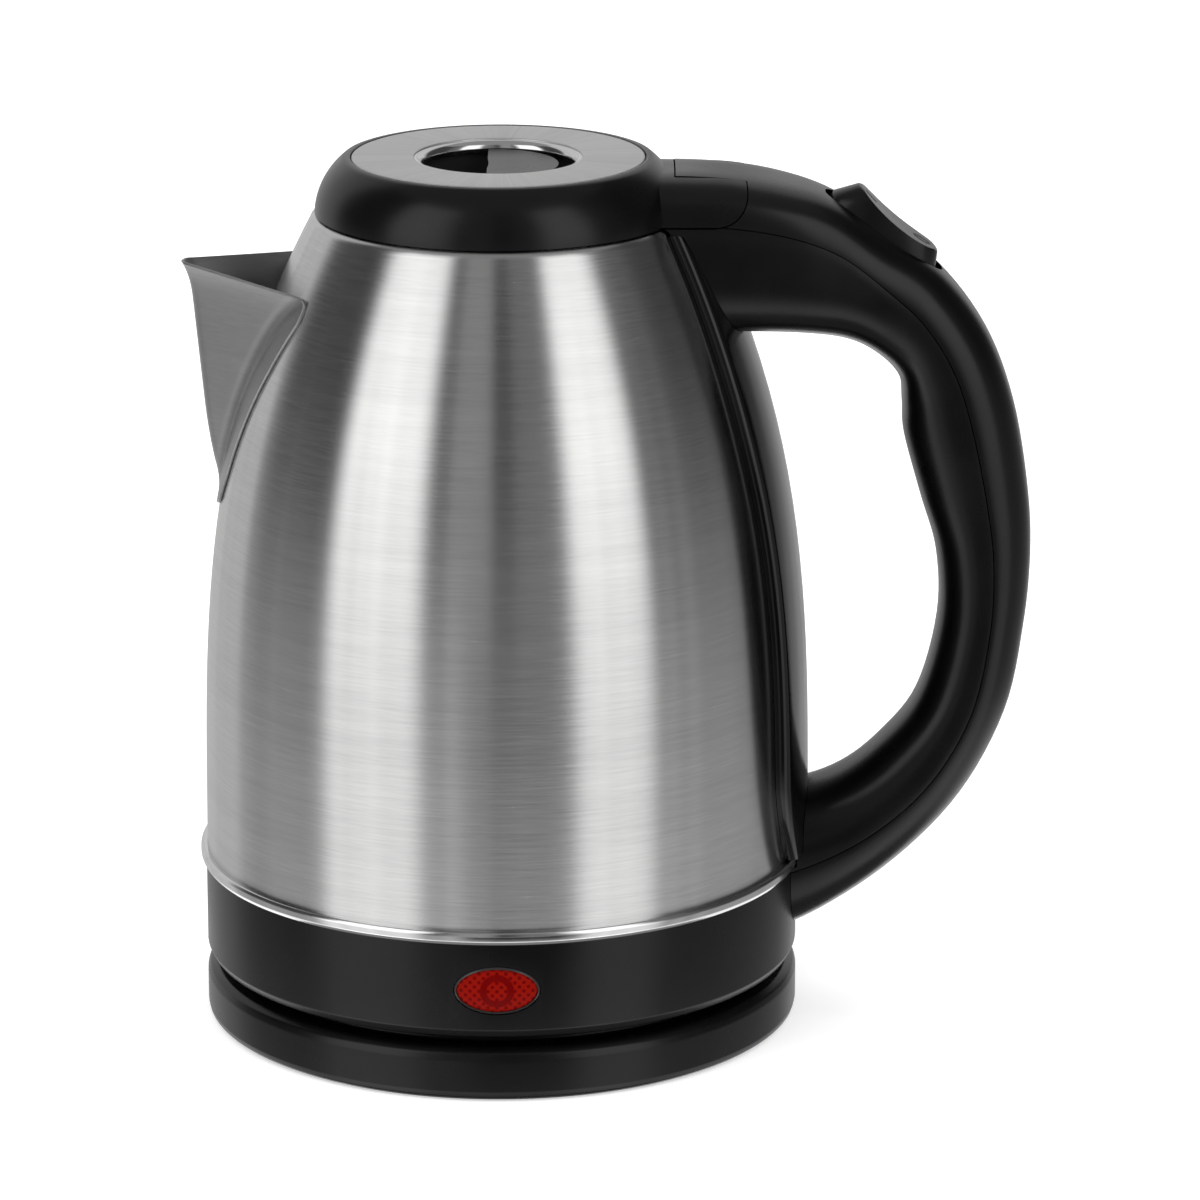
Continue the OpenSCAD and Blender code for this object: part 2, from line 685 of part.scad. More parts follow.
module lid_dome() rotate_extrude() polygon(concat(
    lid_side(0),
    [[39, lid_top_z], [disc_r + 0.7, lid_top_z + 0.05], [disc_r + 0.5, 227.9], [disc_r + 0.5, 227.3],
        [24, 227.3], [24, 225.2], [36.5, 225.2]],
    [for (i = [8 : -1 : 0]) lid_side(2.2)[i]]
));

module lid_arm() intersection() {
    difference() {
        translate([56, 0, arm_top]) rotate([0, arm_slope, 0]) translate([-26, 0, -arm_top])
            along_x(40) arm_section();
        rotate_extrude() polygon(concat(
            [[0, 200], [44.9, 200]], lid_side(2.2), [[36.5, 225.2], [0, 225.2]]
        ));
        translate([0, 0, 225]) cylinder(r = 38.7, h = 10);
    }
    across(60) union() {
        translate([30, 200]) square([pin_x - 30, 40]);
        translate([pin_x, pin_z]) circle(r = cheek_r);
    }
    translate([0, 0, lid_foot_z + 0.1]) cylinder(r = 80, h = 30);
}

module lid_cover() color("#1a1a1a") difference() {
    union() {
        lid_dome();
        lid_arm();
    }
    rod_y(pin_x, pin_z, 11, 2 * (tongue_half + 0.3));
    translate([pin_x - 5, -tongue_half - 0.3, 210]) cube([20, 2 * (tongue_half + 0.3), 30]);
    rod_y(pin_x, pin_z, pin_r + running, pin_l + 0.3);
}

module lid_disc() color("silver") rotate_extrude() polygon([
    [hole_r, 227.35], [disc_r + 0.3, 227.35], [disc_r + 0.3, 228], [disc_r + 0.1, 228.35],
    [disc_r - 0.3, 228.5], [hole_r + 0.4, 228.5], [hole_r, 228.2],
]);

module lid_rim() color("silver") rotate_extrude() polygon([
    [hole_r - 2.2, 225.2], [hole_r - 2.2, 226], [hole_r - 2, 226.8], [hole_r - 1.5, 227.5],
    [hole_r - 0.8, 227.95], [hole_r - 0.05, 228.1], [hole_r - 0.05, 227.3], [hole_r + 2.4, 227.3],
    [hole_r + 2.4, 225.2],
]);

module lid_well() color("black") difference() {
    rotate_extrude() polygon([
        [0, 217], [hole_r + 0.6, 217], [hole_r + 0.6, 224.4], [hole_r + 5, 224.4],
        [hole_r + 5, 225.15], [hole_r - 0.6, 225.15], [hole_r - 0.6, 218.4], [0, 218.4],
    ]);
    translate([-6, -4, 216]) cube([18, 8, 6]);
}

module lid_plug() color("#262626") {
    difference() {
        rotate_extrude() polygon([
            [0, 205.5], [38, 205.5], [38.6, 206.2], [39.9, 211], [39.9, 214.9], [44.6, 214.9],
            [44.6, 216.2], [37.8, 216.2], [37.8, 211], [37, 207.3], [0, 207.3],
        ]);
        translate([-44, -3.3, 207.5]) cube([10, 6.6, 3]);
    }
    translate([22.4, -4, 207.2]) cube([2, 8, 7.5]);
}

module lid_seal() color("white") translate([0, 0, 211.4]) difference() {
    cylinder(r = 40.4, h = 1.6);
    translate([0, 0, -1]) cylinder(r = 39.95, h = 4);
}

module lid_screws() color("silver") for (a = [45 : 90 : 315]) rotate(a) translate([30, 0, 207.5])
    screw_up(1.4, 17);

// The pull pad of the latch: a half disc with a hollowed front edge.
module latch_pad() color("#1a1a1a") {
    difference() {
        translate([-2.6, 0, 223.6]) cylinder(r = pad_r, h = 2.8);
        translate([-54.5, 0, 220]) cylinder(r = 52, h = 10);
        translate([-40, -30, 220]) cube([37.2, 60, 10]);
    }
    translate([-1.8, -3.4, 213.2]) cube([5, 6.8, 10.5]);
}

module latch_slide() color("ivory") {
    translate([-34, -3, 211]) cube([42, 6, 2.1]);
    translate([-34, -3, 207.8]) cube([4, 6, 3.3]);
    translate([7, -3, 209.5]) cube([1.3, 6, 5]);
    across(6) polygon([[-33.5, 207.8], [-38.6, 207.8], [-39.9, 210.1], [-33.5, 210.1]]);
}

module latch_spring() color("silver") translate([8.35, 0, 212]) rotate([0, 90, 0]) difference() {
    cylinder(r = 2.4, h = 14);
    translate([0, 0, -1]) cylinder(r = 1.8, h = 16);
}

base_shell();
base_plate();
base_pads();
base_screws();
base_post();
base_contacts();
cord_gland();
socket_cup();
socket_contacts();
body_shell();
spout();
heater_plate();
diffuser();
heating_element();
trim_ring();
skirt();
bottom_cover();
cover_screws();
thermostat();
bimetal_discs();
lens();
lens_rim();
lamp();
collar();
saddle();
handle_cover();
handle_inner();
handle_screws();
knuckle();
hinge_pin();
steam_switch();
steam_disc();
steam_duct();
lid_cover();
lid_disc();
lid_rim();
lid_well();
lid_plug();
lid_seal();
lid_screws();
latch_pad();
latch_slide();
latch_spring();
rocker();
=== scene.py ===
import math

import bmesh
import bpy
from mathutils import Matrix, Vector


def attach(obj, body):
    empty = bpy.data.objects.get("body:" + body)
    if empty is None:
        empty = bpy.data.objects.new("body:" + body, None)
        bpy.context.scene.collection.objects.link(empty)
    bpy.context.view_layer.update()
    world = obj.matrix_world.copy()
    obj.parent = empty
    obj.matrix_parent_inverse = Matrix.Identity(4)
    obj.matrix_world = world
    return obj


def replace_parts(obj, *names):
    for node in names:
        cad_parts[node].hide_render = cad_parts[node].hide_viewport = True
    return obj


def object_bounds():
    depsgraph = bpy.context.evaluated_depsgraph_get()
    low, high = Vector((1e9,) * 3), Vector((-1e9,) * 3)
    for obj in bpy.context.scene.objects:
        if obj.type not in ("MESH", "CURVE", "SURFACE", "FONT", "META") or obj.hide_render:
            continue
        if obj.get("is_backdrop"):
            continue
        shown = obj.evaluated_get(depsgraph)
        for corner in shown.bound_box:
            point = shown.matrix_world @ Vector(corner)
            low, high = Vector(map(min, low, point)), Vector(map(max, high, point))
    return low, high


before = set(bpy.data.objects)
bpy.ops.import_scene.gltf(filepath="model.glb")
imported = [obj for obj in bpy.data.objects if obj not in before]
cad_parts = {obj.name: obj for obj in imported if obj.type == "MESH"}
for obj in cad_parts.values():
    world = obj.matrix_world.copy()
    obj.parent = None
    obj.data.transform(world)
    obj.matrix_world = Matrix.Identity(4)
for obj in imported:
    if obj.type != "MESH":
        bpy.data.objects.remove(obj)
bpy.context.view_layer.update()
bpy.context.scene.view_settings.view_transform = "Standard"

# ---------------------------------------------------------------------------------------------
# The camera: a long lens about 1.6 m away, a little above the lid and square to the side with
# the indicator.
CAMERA_PLACE = (0.026, -1.5321, 0.5573)
LOOK_DOWN = 16.27
camera_data = bpy.data.cameras.new("camera")
camera_data.lens = 183.5
camera_data.sensor_width = 36
camera_data.clip_end = 30
camera = bpy.data.objects.new("camera", camera_data)
camera.location = CAMERA_PLACE
camera.rotation_euler = (math.radians(90 - LOOK_DOWN), 0, 0)
bpy.context.collection.objects.link(camera)
bpy.context.scene.camera = camera

# ---------------------------------------------------------------------------------------------
# The studio: a pale floor and a white world, a round wall of grey cards with two tall soft boxes
# and two end cards that only reflections see, and three wide lamps for the shadows.
# The world and the floor look white to the camera, in a gloss and through clear plastic, and light
# the kettle at a plainer level.
WORLD_LIGHT, WORLD_SEEN = 0.72, 1.0
FLOOR_LIFT, FLOOR_HALF = 0.47, 6


def feed(tree, made, inputs):
    """Sets each named input of a node to a value, or links it to a socket."""
    for name, value in inputs.items():
        if isinstance(value, bpy.types.NodeSocket):
            tree.links.new(value, made.inputs[name])
        else:
            made.inputs[name].default_value = value


def wired(tree, kind, inputs=None, **settings):
    """A new shader node with its settings and its inputs in place."""
    made = tree.nodes.new("ShaderNode" + kind)
    for setting, choice in settings.items():
        setattr(made, setting, choice)
    feed(tree, made, inputs or {})
    return made


def maths(tree, operation, *values, clamp=False):
    """The answer of one operation on sockets and numbers."""
    return wired(tree, "Math", dict(enumerate(values)), operation=operation, use_clamp=clamp).outputs[0]


def fade(tree, value, start, end, low=0, high=1, kind="SMOOTHSTEP"):
    """Runs from low to high while the value goes from start to end."""
    span = {"Value": value, "From Min": start, "From Max": end, "To Min": low, "To Max": high}
    return wired(tree, "MapRange", span, interpolation_type=kind).outputs[0]


def own_axes(tree):
    """The X, Y and Z of a place on the piece, in the piece's own frame."""
    return wired(tree, "SeparateXYZ", {0: wired(tree, "TexCoord").outputs["Object"]}).outputs


def seen_rays(tree):
    """One for rays from the camera, from a gloss or through clear plastic, and nothing for others."""
    rays = wired(tree, "LightPath").outputs
    straight = maths(tree, "ADD", rays["Is Camera Ray"], rays["Is Glossy Ray"])
    return maths(tree, "ADD", straight, rays["Is Transmission Ray"], clamp=True)


def new_material(name):
    """A material with its node tree and its Principled shader."""
    material = bpy.data.materials.new(name)
    material.use_nodes = True
    return material, material.node_tree, material.node_tree.nodes["Principled BSDF"]


def round_angles(count):
    """Evenly spaced angles, once round."""
    return [2 * math.pi * i / count for i in range(count)]


def stage_mesh(name, verts, faces, material):
    """A mesh of the studio, which is no piece of the kettle."""
    mesh = bpy.data.meshes.new(name)
    mesh.from_pydata(verts, [], faces)
    mesh.materials.append(material)
    obj = bpy.data.objects.new(name, mesh)
    bpy.context.collection.objects.link(obj)
    obj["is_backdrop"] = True
    return obj


world = bpy.data.worlds.new("studio")
bpy.context.scene.world = world
world.use_nodes = True
tree = world.node_tree
tree.nodes.clear()
strength = fade(tree, seen_rays(tree), 0, 1, WORLD_LIGHT, WORLD_SEEN, "LINEAR")
sky = wired(tree, "Background", {"Color": (1, 1, 1, 1), "Strength": strength})
wired(tree, "OutputWorld", {"Surface": sky.outputs[0]})

floor_paint, tree, paint = new_material("floor_paint")
feed(tree, paint, {"Base Color": (0.93, 0.93, 0.93, 1), "Roughness": 0.9, "Specular IOR Level": 0.0})
white = wired(tree, "Emission", {"Strength": maths(tree, "MULTIPLY", seen_rays(tree), FLOOR_LIFT)})
both = wired(tree, "AddShader", {0: paint.outputs[0], 1: white.outputs[0]})
feed(tree, tree.nodes["Material Output"], {"Surface": both.outputs[0]})
floor_corners = [(x * FLOOR_HALF, y * FLOOR_HALF, 0) for x, y in ((-1, -1), (1, -1), (1, 1), (-1, 1))]
floor = stage_mesh("floor", floor_corners, [(0, 1, 2, 3)], floor_paint)
floor.visible_glossy = False


def card_material(name):
    """A material with an empty tree, for a card that only glows."""
    material = bpy.data.materials.new(name)
    material.use_nodes = True
    material.node_tree.nodes.clear()
    return material, material.node_tree


def shine(tree, strength):
    """Lets a card glow white with a strength."""
    light = wired(tree, "Emission", {"Strength": strength})
    wired(tree, "OutputMaterial", {"Surface": light.outputs[0]})


cards, card_tree = card_material("studio_cards")
axes = own_axes(card_tree)
azimuth = maths(card_tree, "ARCTAN2", axes["X"], maths(card_tree, "MULTIPLY", axes["Y"], -1))


def card_band(rise, fall, level):
    """An upright band of the wall between two soft edges, each from and to an azimuth in degrees."""
    up = fade(card_tree, azimuth, math.radians(rise[0]), math.radians(rise[1]), 0, level)
    down = fade(card_tree, azimuth, math.radians(fall[0]), math.radians(fall[1]), 1, 0)
    return maths(card_tree, "MULTIPLY", up, down)


# The two soft boxes first, then the grey cards between them, behind them and at the right.
CARD_BANDS = (
    ((-74, -66), (-35, -26), 1.1), ((24, 32), (57, 65), 1.06),
    ((-26, -16), (-3, -1), 0.19), ((3, 12), (20, 30), 0.1),
    ((-200, -190), (-124, -112), 0.42), ((136, 152), (190, 200), 0.42),
    ((60, 66), (74, 96), 0.07),
)
bands = 0
for rise, fall, level in CARD_BANDS:
    bands = maths(card_tree, "ADD", bands, card_band(rise, fall, level))
# The bands grow brighter upwards and the bare wall grows darker. A pale table shows below it.
CARD_LOW, CARD_HIGH = -0.7, 0.7
band_level = fade(card_tree, axes["Z"], CARD_LOW, CARD_HIGH, 0.55, 1.4)
bare_level = fade(card_tree, axes["Z"], CARD_LOW, CARD_HIGH, 0.36, 0.06)
table = fade(card_tree, axes["Z"], -0.9, -1.9, 0, 0.85)
lit_wall = maths(card_tree, "MULTIPLY_ADD", bands, band_level, maths(card_tree, "ADD", bare_level, table))
# A dark card stands low in front of the kettle, and fine upright streaks break the wall up.
front = card_band((-18, -8), (22, 38), 1)
card_foot = fade(card_tree, axes["Z"], -1.05, -0.8, 0, 0.95)
card_head = fade(card_tree, axes["Z"], -0.4, -0.1, 1, 0)
dark_card = maths(card_tree, "MULTIPLY", maths(card_tree, "MULTIPLY", card_foot, card_head), front)
uneven = wired(card_tree, "TexNoise", {"W": azimuth, "Scale": 11, "Detail": 3, "Roughness": 0.62},
               noise_dimensions="1D")
streaks = fade(card_tree, uneven.outputs[0], 0.3, 0.7, 0.78, 1.22, "LINEAR")
breaks = maths(card_tree, "MULTIPLY", maths(card_tree, "SUBTRACT", 1, dark_card), streaks)
shine(card_tree, maths(card_tree, "MULTIPLY", lit_wall, breaks))

end_card, tree = card_material("ceiling_card")
shine(tree, fade(tree, own_axes(tree)["Z"], -3, 3, 0.25, 0.3, "LINEAR"))

WALL_R, WALL_FOOT, WALL_TOP, WALL_STEPS = 2.6, -3.0, 3.4, 72
ring = [(WALL_R * math.cos(a), WALL_R * math.sin(a)) for a in round_angles(WALL_STEPS)]
low_ring = [(x, y, WALL_FOOT) for x, y in ring]
top_ring = [(x, y, WALL_TOP) for x, y in ring]
wall_faces = [(i, (i + 1) % WALL_STEPS, WALL_STEPS + (i + 1) % WALL_STEPS, WALL_STEPS + i)
              for i in range(WALL_STEPS)]
end_faces = [tuple(range(WALL_STEPS)), tuple(range(WALL_STEPS, 2 * WALL_STEPS))]
for card in (stage_mesh("card_wall", low_ring + top_ring, wall_faces, cards),
             stage_mesh("card_ceiling", top_ring + low_ring, end_faces, end_card)):
    card.visible_camera = False
    card.visible_diffuse = False
    card.visible_shadow = False
    card.visible_transmission = False

LAMP_AIM = Vector((0, 0, 0.1))
for name, place, power, size in (
    ("lamp_left", (-1.5, -1.3, 1.7), 11, 1.3),
    ("lamp_right", (1.4, -1.5, 1.7), 10, 1.2),
    ("lamp_top", (0.1, 0.5, 2.2), 9, 1.6),
):
    lamp_data = bpy.data.lights.new(name, "AREA")
    lamp_data.energy = power
    lamp_data.size = size
    lamp = bpy.data.objects.new(name, lamp_data)
    lamp.location = place
    lamp.rotation_euler = (LAMP_AIM - Vector(place)).to_track_quat("-Z", "Y").to_euler()
    lamp.visible_glossy = False
    bpy.context.collection.objects.link(lamp)

# ---------------------------------------------------------------------------------------------
# The vessel: one deep-drawn jug of 0.7 mm stainless steel, rolled in at the mouth, brushed round
# and round on a lathe, with the strainer holes pierced behind the spout.
STEEL = 0.0007
FOOT_R, FOOT_Z, BEND_Z, RIM_Z = 0.0774, 0.0424, 0.060, 0.212
LEAN_Z, LEAN = 0.0462, 0.0065
SHOULDER_IN, SHOULDER_POWER = 0.02775, 2.82
HOLE_R, HOLE_FROM, HOLE_TO = 0.0017, -0.08, -0.046
# Each row of strainer holes: its height, and the places of the holes across it.
HOLE_ROWS = (
    (0.165, (-0.006, 0, 0.006)),
    (0.1714, (-0.0095, -0.0035, 0.0035, 0.0095)),
    (0.1778, (-0.012, -0.006, 0, 0.006, 0.012)),
    (0.1842, (-0.0155, -0.0095, -0.0035, 0.0035, 0.0095, 0.0155)),
    (0.1906, (-0.012, -0.006, 0, 0.006, 0.012)),
)


def body_r(z):
    """Outer radius of the steel at a height."""
    lean = LEAN * max(0.0, z - LEAN_Z)
    bend = SHOULDER_IN * (max(0.0, z - BEND_Z) / (RIM_Z - BEND_Z)) ** SHOULDER_POWER
    return FOOT_R - lean - bend


def link_piece(name, mesh, material, body, sharp=32):
    """A finished mesh becomes a smooth-shaded piece that rides on a CAD body."""
    mesh.materials.clear()
    mesh.materials.append(material)
    mesh.shade_smooth()
    mesh.set_sharp_from_angle(angle=math.radians(sharp))
    obj = bpy.data.objects.new(name, mesh)
    bpy.context.collection.objects.link(obj)
    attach(obj, body)
    return obj


def lathe(name, outline, steps=160):
    """A closed outline of (radius, height), turned round the kettle's axis."""
    mesh = bpy.data.meshes.new(name)
    verts, faces, n = [], [], len(outline)
    for a in round_angles(steps):
        verts += [(r * math.cos(a), r * math.sin(a), z) for r, z in outline]
    for k in range(steps):
        here, there = k * n, ((k + 1) % steps) * n
        for i in range(n):
            j = (i + 1) % n
            faces.append((here + i, there + i, there + j, here + j))
    mesh.from_pydata(verts, [], faces)
    shape = bmesh.new()
    shape.from_mesh(mesh)
    bmesh.ops.remove_doubles(shape, verts=shape.verts, dist=1e-7)
    bmesh.ops.dissolve_degenerate(shape, dist=1e-8, edges=shape.edges)
    bmesh.ops.delete(shape, geom=[e for e in shape.edges if not e.link_faces], context="EDGES")
    bmesh.ops.recalc_face_normals(shape, faces=shape.faces)
    shape.to_mesh(mesh)
    shape.free()
    return mesh


def rod(name, start, end, radius, steps=48):
    """A plain round bar between two points."""
    start, end = Vector(start), Vector(end)
    mesh = bpy.data.meshes.new(name)
    shape = bmesh.new()
    bmesh.ops.create_cone(shape, cap_ends=True, segments=steps, radius1=radius, radius2=radius,
                          depth=(end - start).length)
    turn_to = (end - start).to_track_quat("Z", "X").to_matrix().to_4x4()
    bmesh.ops.transform(shape, matrix=Matrix.Translation((start + end) / 2) @ turn_to, verts=shape.verts)
    shape.to_mesh(mesh)
    shape.free()
    return mesh


def carve(mesh, tools, how="DIFFERENCE"):
    """The mesh with each tool mesh cut away from it, joined to it, or kept in common with it."""
    work = bpy.data.objects.new("work", mesh)
    bpy.context.collection.objects.link(work)
    cutters = []
    for tool in tools:
        cutter = bpy.data.objects.new("cutter", tool)
        bpy.context.collection.objects.link(cutter)
        cut = work.modifiers.new("cut", "BOOLEAN")
        cut.operation = how
        cut.object = cutter
        cut.solver = "EXACT"
        cutters.append(cutter)
    bpy.context.view_layer.update()
    result = bpy.data.meshes.new_from_object(work.evaluated_get(bpy.context.evaluated_depsgraph_get()))
    for obj in [work] + cutters:
        bpy.data.objects.remove(obj)
    result.name = mesh.name
    return result


def effect_group(name, inputs, outputs):
    """A shader group with named number inputs and outputs, still empty between its two ends."""
    group = bpy.data.node_groups.new(name, "ShaderNodeTree")
    for socket, value in inputs.items():
        made = group.interface.new_socket(socket, in_out="INPUT", socket_type="NodeSocketFloat")
        made.default_value = value
    for socket in outputs:
        group.interface.new_socket(socket, in_out="OUTPUT", socket_type="NodeSocketFloat")
    return group, group.nodes.new("NodeGroupInput").outputs, group.nodes.new("NodeGroupOutput")


def brush_group():
    """Brush lines that run level round the axis: fine lines, and wide clouds among them."""
    group, given, result = effect_group("brush_lines", {"Across": 2600, "Along": 7}, ("Lines", "Clouds"))
    axes = own_axes(group)
    around = maths(group, "MULTIPLY", maths(group, "ARCTAN2", axes["Y"], axes["X"]), given["Along"])
    upward = maths(group, "MULTIPLY", axes["Z"], given["Across"])
    spot = wired(group, "CombineXYZ", {"X": around, "Z": upward}).outputs[0]
    fine = wired(group, "TexNoise", {"Vector": spot, "Scale": 1, "Detail": 3, "Roughness": 0.65})
    wide = wired(group, "TexNoise", {"Vector": spot, "Scale": 0.06, "Detail": 4, "Roughness": 0.7})
    feed(group, result, {"Lines": fine.outputs["Fac"], "Clouds": wide.outputs["Fac"]})
    return group


def uneven_colour(tree, mask, colour, dark, light):
    """The colour times dark where the mask is nothing, and times light where it is one."""
    first, second = ((*[min(1, c * level) for c in colour], 1) for level in (dark, light))
    return wired(tree, "Mix", {"Factor": mask, "A": first, "B": second}, data_type="RGBA").outputs["Result"]


brush_lines = brush_group()


def brushed_steel(name, colour=(0.60, 0.60, 0.595), roughness=0.25, anisotropic=0.9, across=2200,
                  along=5, depth=0.06, around=True):
    """Brushed stainless steel: level lines that break up the gloss and spread it upright."""
    material, tree, steel = new_material(name)
    marks = wired(tree, "Group", {"Across": across, "Along": along}, node_tree=brush_lines)
    lines, clouds = marks.outputs["Lines"], marks.outputs["Clouds"]
    mask = fade(tree, maths(tree, "ADD", clouds, lines), 0.75, 1.25, kind="LINEAR")
    bump = wired(tree, "Bump", {"Strength": depth, "Distance": 0.0001, "Height": lines})
    feed(tree, steel, {
        "Base Color": uneven_colour(tree, mask, colour, 0.93, 1.07),
        "Metallic": 1,
        "Roughness": fade(tree, lines, 0, 1, roughness - 0.05, roughness + 0.05, "LINEAR"),
        "Anisotropic": anisotropic,
        "Anisotropic Rotation": 0.25,
        "Normal": bump.outputs[0],
    })
    if around:
        tangent = wired(tree, "Tangent", direction_type="RADIAL", axis="Z")
        feed(tree, steel, {"Tangent": tangent.outputs[0]})
    return material


vessel_steel = brushed_steel("vessel_steel")
heights = [FOOT_Z + (RIM_Z - FOOT_Z) * math.sin(math.pi / 2 * i / 40) for i in range(41)]
outside = [(body_r(z), z) for z in heights]
rolled = [(0.0482, 0.2128), (0.0477, 0.2133), (0.0472, 0.21365), (0.0466, 0.2139), (0.0460, 0.21395)]
mouth = [(0.0434, 0.21395), (0.0431, 0.21375), (0.0430, 0.2135), (0.0432, 0.2132), (0.0463, 0.2132)]
inside = [(body_r(z) - STEEL, z) for z in reversed(heights)]
vessel = lathe("vessel", outside + rolled + mouth + inside, 224)
holes = [rod("hole", (HOLE_FROM, y, z), (HOLE_TO, y, z), HOLE_R, 20) for z, row in HOLE_ROWS for y in row]
vessel = carve(vessel, holes)
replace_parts(link_piece("steel_vessel", vessel, vessel_steel, "kettle"), "body_shell")

# ---------------------------------------------------------------------------------------------
# The spout: a folded sheet of the same steel, laid on the vessel with a thin flange and welded
# along it. Its ridge leans out, its walls run straight back, and its lip falls towards the body.
NOSE_R, HALF_FOLD = 0.005, math.radians(40.3)
RIDGE_X, RIDGE_Z, RIDGE_LEAN = 0.0776, 0.1793, 0.095
HOLLOW_Z, HOLLOW = 0.1642, 3.5
FLARE_Z, FLARE_H, FLARE_OUT = 0.190, 0.011, 0.0019
TIP_X, TIP_Z, LIP_FALL = 0.0816, 0.201, math.radians(6.5)
SPOUT_FOOT, FOOT_RISE = 0.1376, 0.0010
FLANGE_LIFT, FLANGE_BLEND = 0.0008, 0.0022
# The flange's half-width at heights from its foot up: pointed below, widest near the lip.
FLANGE = (
    (0.1369, 0.0), (0.1376, 0.006), (0.1406, 0.0104), (0.1479, 0.0147), (0.1659, 0.0213), (0.178, 0.0258),
    (0.1867, 0.0286), (0.1915, 0.0301), (0.1940, 0.0300), (0.1958, 0.0295), (0.1968, 0.0288),
    (0.1974, 0.0279), (0.21, 0.0279),
)
# The spout's colour is darker than the vessel's, though it is the same steel: painted shade for the dimmer
# reflections its face shows.
spout_steel_shaded = brushed_steel("spout_steel_shaded", (0.37, 0.37, 0.368), roughness=0.42, anisotropic=0.45,
                            across=1500, along=14)


def ridge_x(z):
    """Distance of the ridge from the axis: a straight lean, drawn in below and flared at the tip."""
    flare = FLARE_OUT * (max(0, z - FLARE_Z) / FLARE_H) ** 3
    return RIDGE_X + RIDGE_LEAN * (z - RIDGE_Z) - HOLLOW * max(0, HOLLOW_Z - z) ** 2 + flare


def flange_half(z):
    """Half-width of the flange at a height."""
    for (z0, y0), (z1, y1) in zip(FLANGE, FLANGE[1:]):
        if z <= z1:
            return y0 + (y1 - y0) * max(0, (z - z0) / (z1 - z0))
    return FLANGE[-1][1]


def flange_turn(z):
    """The angle from the front of the spout to the flange's edge at a height."""
    return math.asin(min(0.9, flange_half(z) / (body_r(z) + FLANGE_LIFT)))


def spout_point(turn, z):
    """A point of the spout's outer face at an angle from the front of the spout."""
    skin = body_r(z) + FLANGE_LIFT
    centre = ridge_x(z) - NOSE_R
    apex = ridge_x(z) - NOSE_R + NOSE_R / math.sin(HALF_FOLD)
    reach = apex * math.tan(HALF_FOLD) / (abs(math.sin(turn)) + math.cos(turn) * math.tan(HALF_FOLD))
    under = NOSE_R ** 2 - (centre * math.sin(turn)) ** 2
    touch = math.atan2(NOSE_R * math.cos(HALF_FOLD), centre + NOSE_R * math.sin(HALF_FOLD))
    if under > 0 and abs(turn) < touch:
        reach = centre * math.cos(turn) + math.sqrt(under)
    share = max(0.0, min(1.0, 0.5 + 0.5 * (reach - skin) / FLANGE_BLEND))
    out = skin * (1 - share) + reach * share + FLANGE_BLEND * share * (1 - share) * 0.5
    return Vector((-out * math.cos(turn), out * math.sin(turn), z))


def lip_height(t):
    """Height of the pouring lip at a share of the flange's half-turn, from a guess made better."""
    lip = TIP_Z - 0.004
    for _ in range(12):
        lip = TIP_Z - (spout_point(t * flange_turn(lip), lip).x + TIP_X) * math.tan(LIP_FALL)
    return lip


# The sheet is laid out in rows from the foot to the lip, close together near the lip.
columns, rows = 121, 60
across_flange = [2 * j / (columns - 1) - 1 for j in range(columns)]
lips = [lip_height(t) for t in across_flange]
verts = []
for i in range(rows + 1):
    for t, lip in zip(across_flange, lips):
        low = SPOUT_FOOT + FOOT_RISE * t ** 2
        z = low + (lip - low) * (1 - (1 - i / rows) ** 1.25)
        verts.append(tuple(spout_point(t * flange_turn(z), z)))
corners = [i * columns + j for i in range(rows) for j in range(columns - 1)]
sheet = bpy.data.meshes.new("spout")
sheet.from_pydata(verts, [], [(a, a + 1, a + columns + 1, a + columns) for a in corners])
shape = bmesh.new()
shape.from_mesh(sheet)
bmesh.ops.recalc_face_normals(shape, faces=shape.faces)
shape.faces.ensure_lookup_table()
if shape.faces[len(shape.faces) // 2].normal.x > 0:
    bmesh.ops.reverse_faces(shape, faces=shape.faces)
shape.to_mesh(sheet)
shape.free()
spout = link_piece("spout_sheet", sheet, spout_steel_shaded, "kettle", 50)
thick = spout.modifiers.new("sheet", "SOLIDIFY")
thick.thickness = STEEL
thick.offset = -1
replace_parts(spout, "spout")

# ---------------------------------------------------------------------------------------------
# The saddle: a broad strip of glossy black plastic, screwed to the vessel under the handle. It
# stands 3.4 mm off the steel, with a rounded shoulder down each side.
SADDLE, SADDLE_HALF, SADDLE_FOOT, SADDLE_TOP = 0.0034, 0.031, 0.0463, 0.2124
HEAD_IN, HEAD_Z, HEAD_H = 0.0075, 0.150, 0.060
TAIL_IN, TAIL_Z, TAIL_H = 0.007, 0.072, 0.025
SHOULDER_W, SHOULDER_D, EDGE_D = 0.0026, 0.0024, 0.0031
BACK_X, CORE_TOP = 0.030, 0.2131


def grain_group():
    """Fine moulded grain: a height for the bump and a mask that shifts colour and gloss."""
    group, given, result = effect_group("moulded_grain", {"Size": 2600}, ("Height", "Mottle"))
    spot = wired(group, "TexCoord").outputs["Object"]
    grain = wired(group, "TexNoise", {"Vector": spot, "Scale": given["Size"], "Detail": 2})
    mottle = wired(group, "TexNoise", {"Vector": spot, "Scale": 55, "Detail": 5})
    feed(group, result, {"Height": grain.outputs["Fac"], "Mottle": mottle.outputs["Fac"]})
    return group


moulded_grain = grain_group()


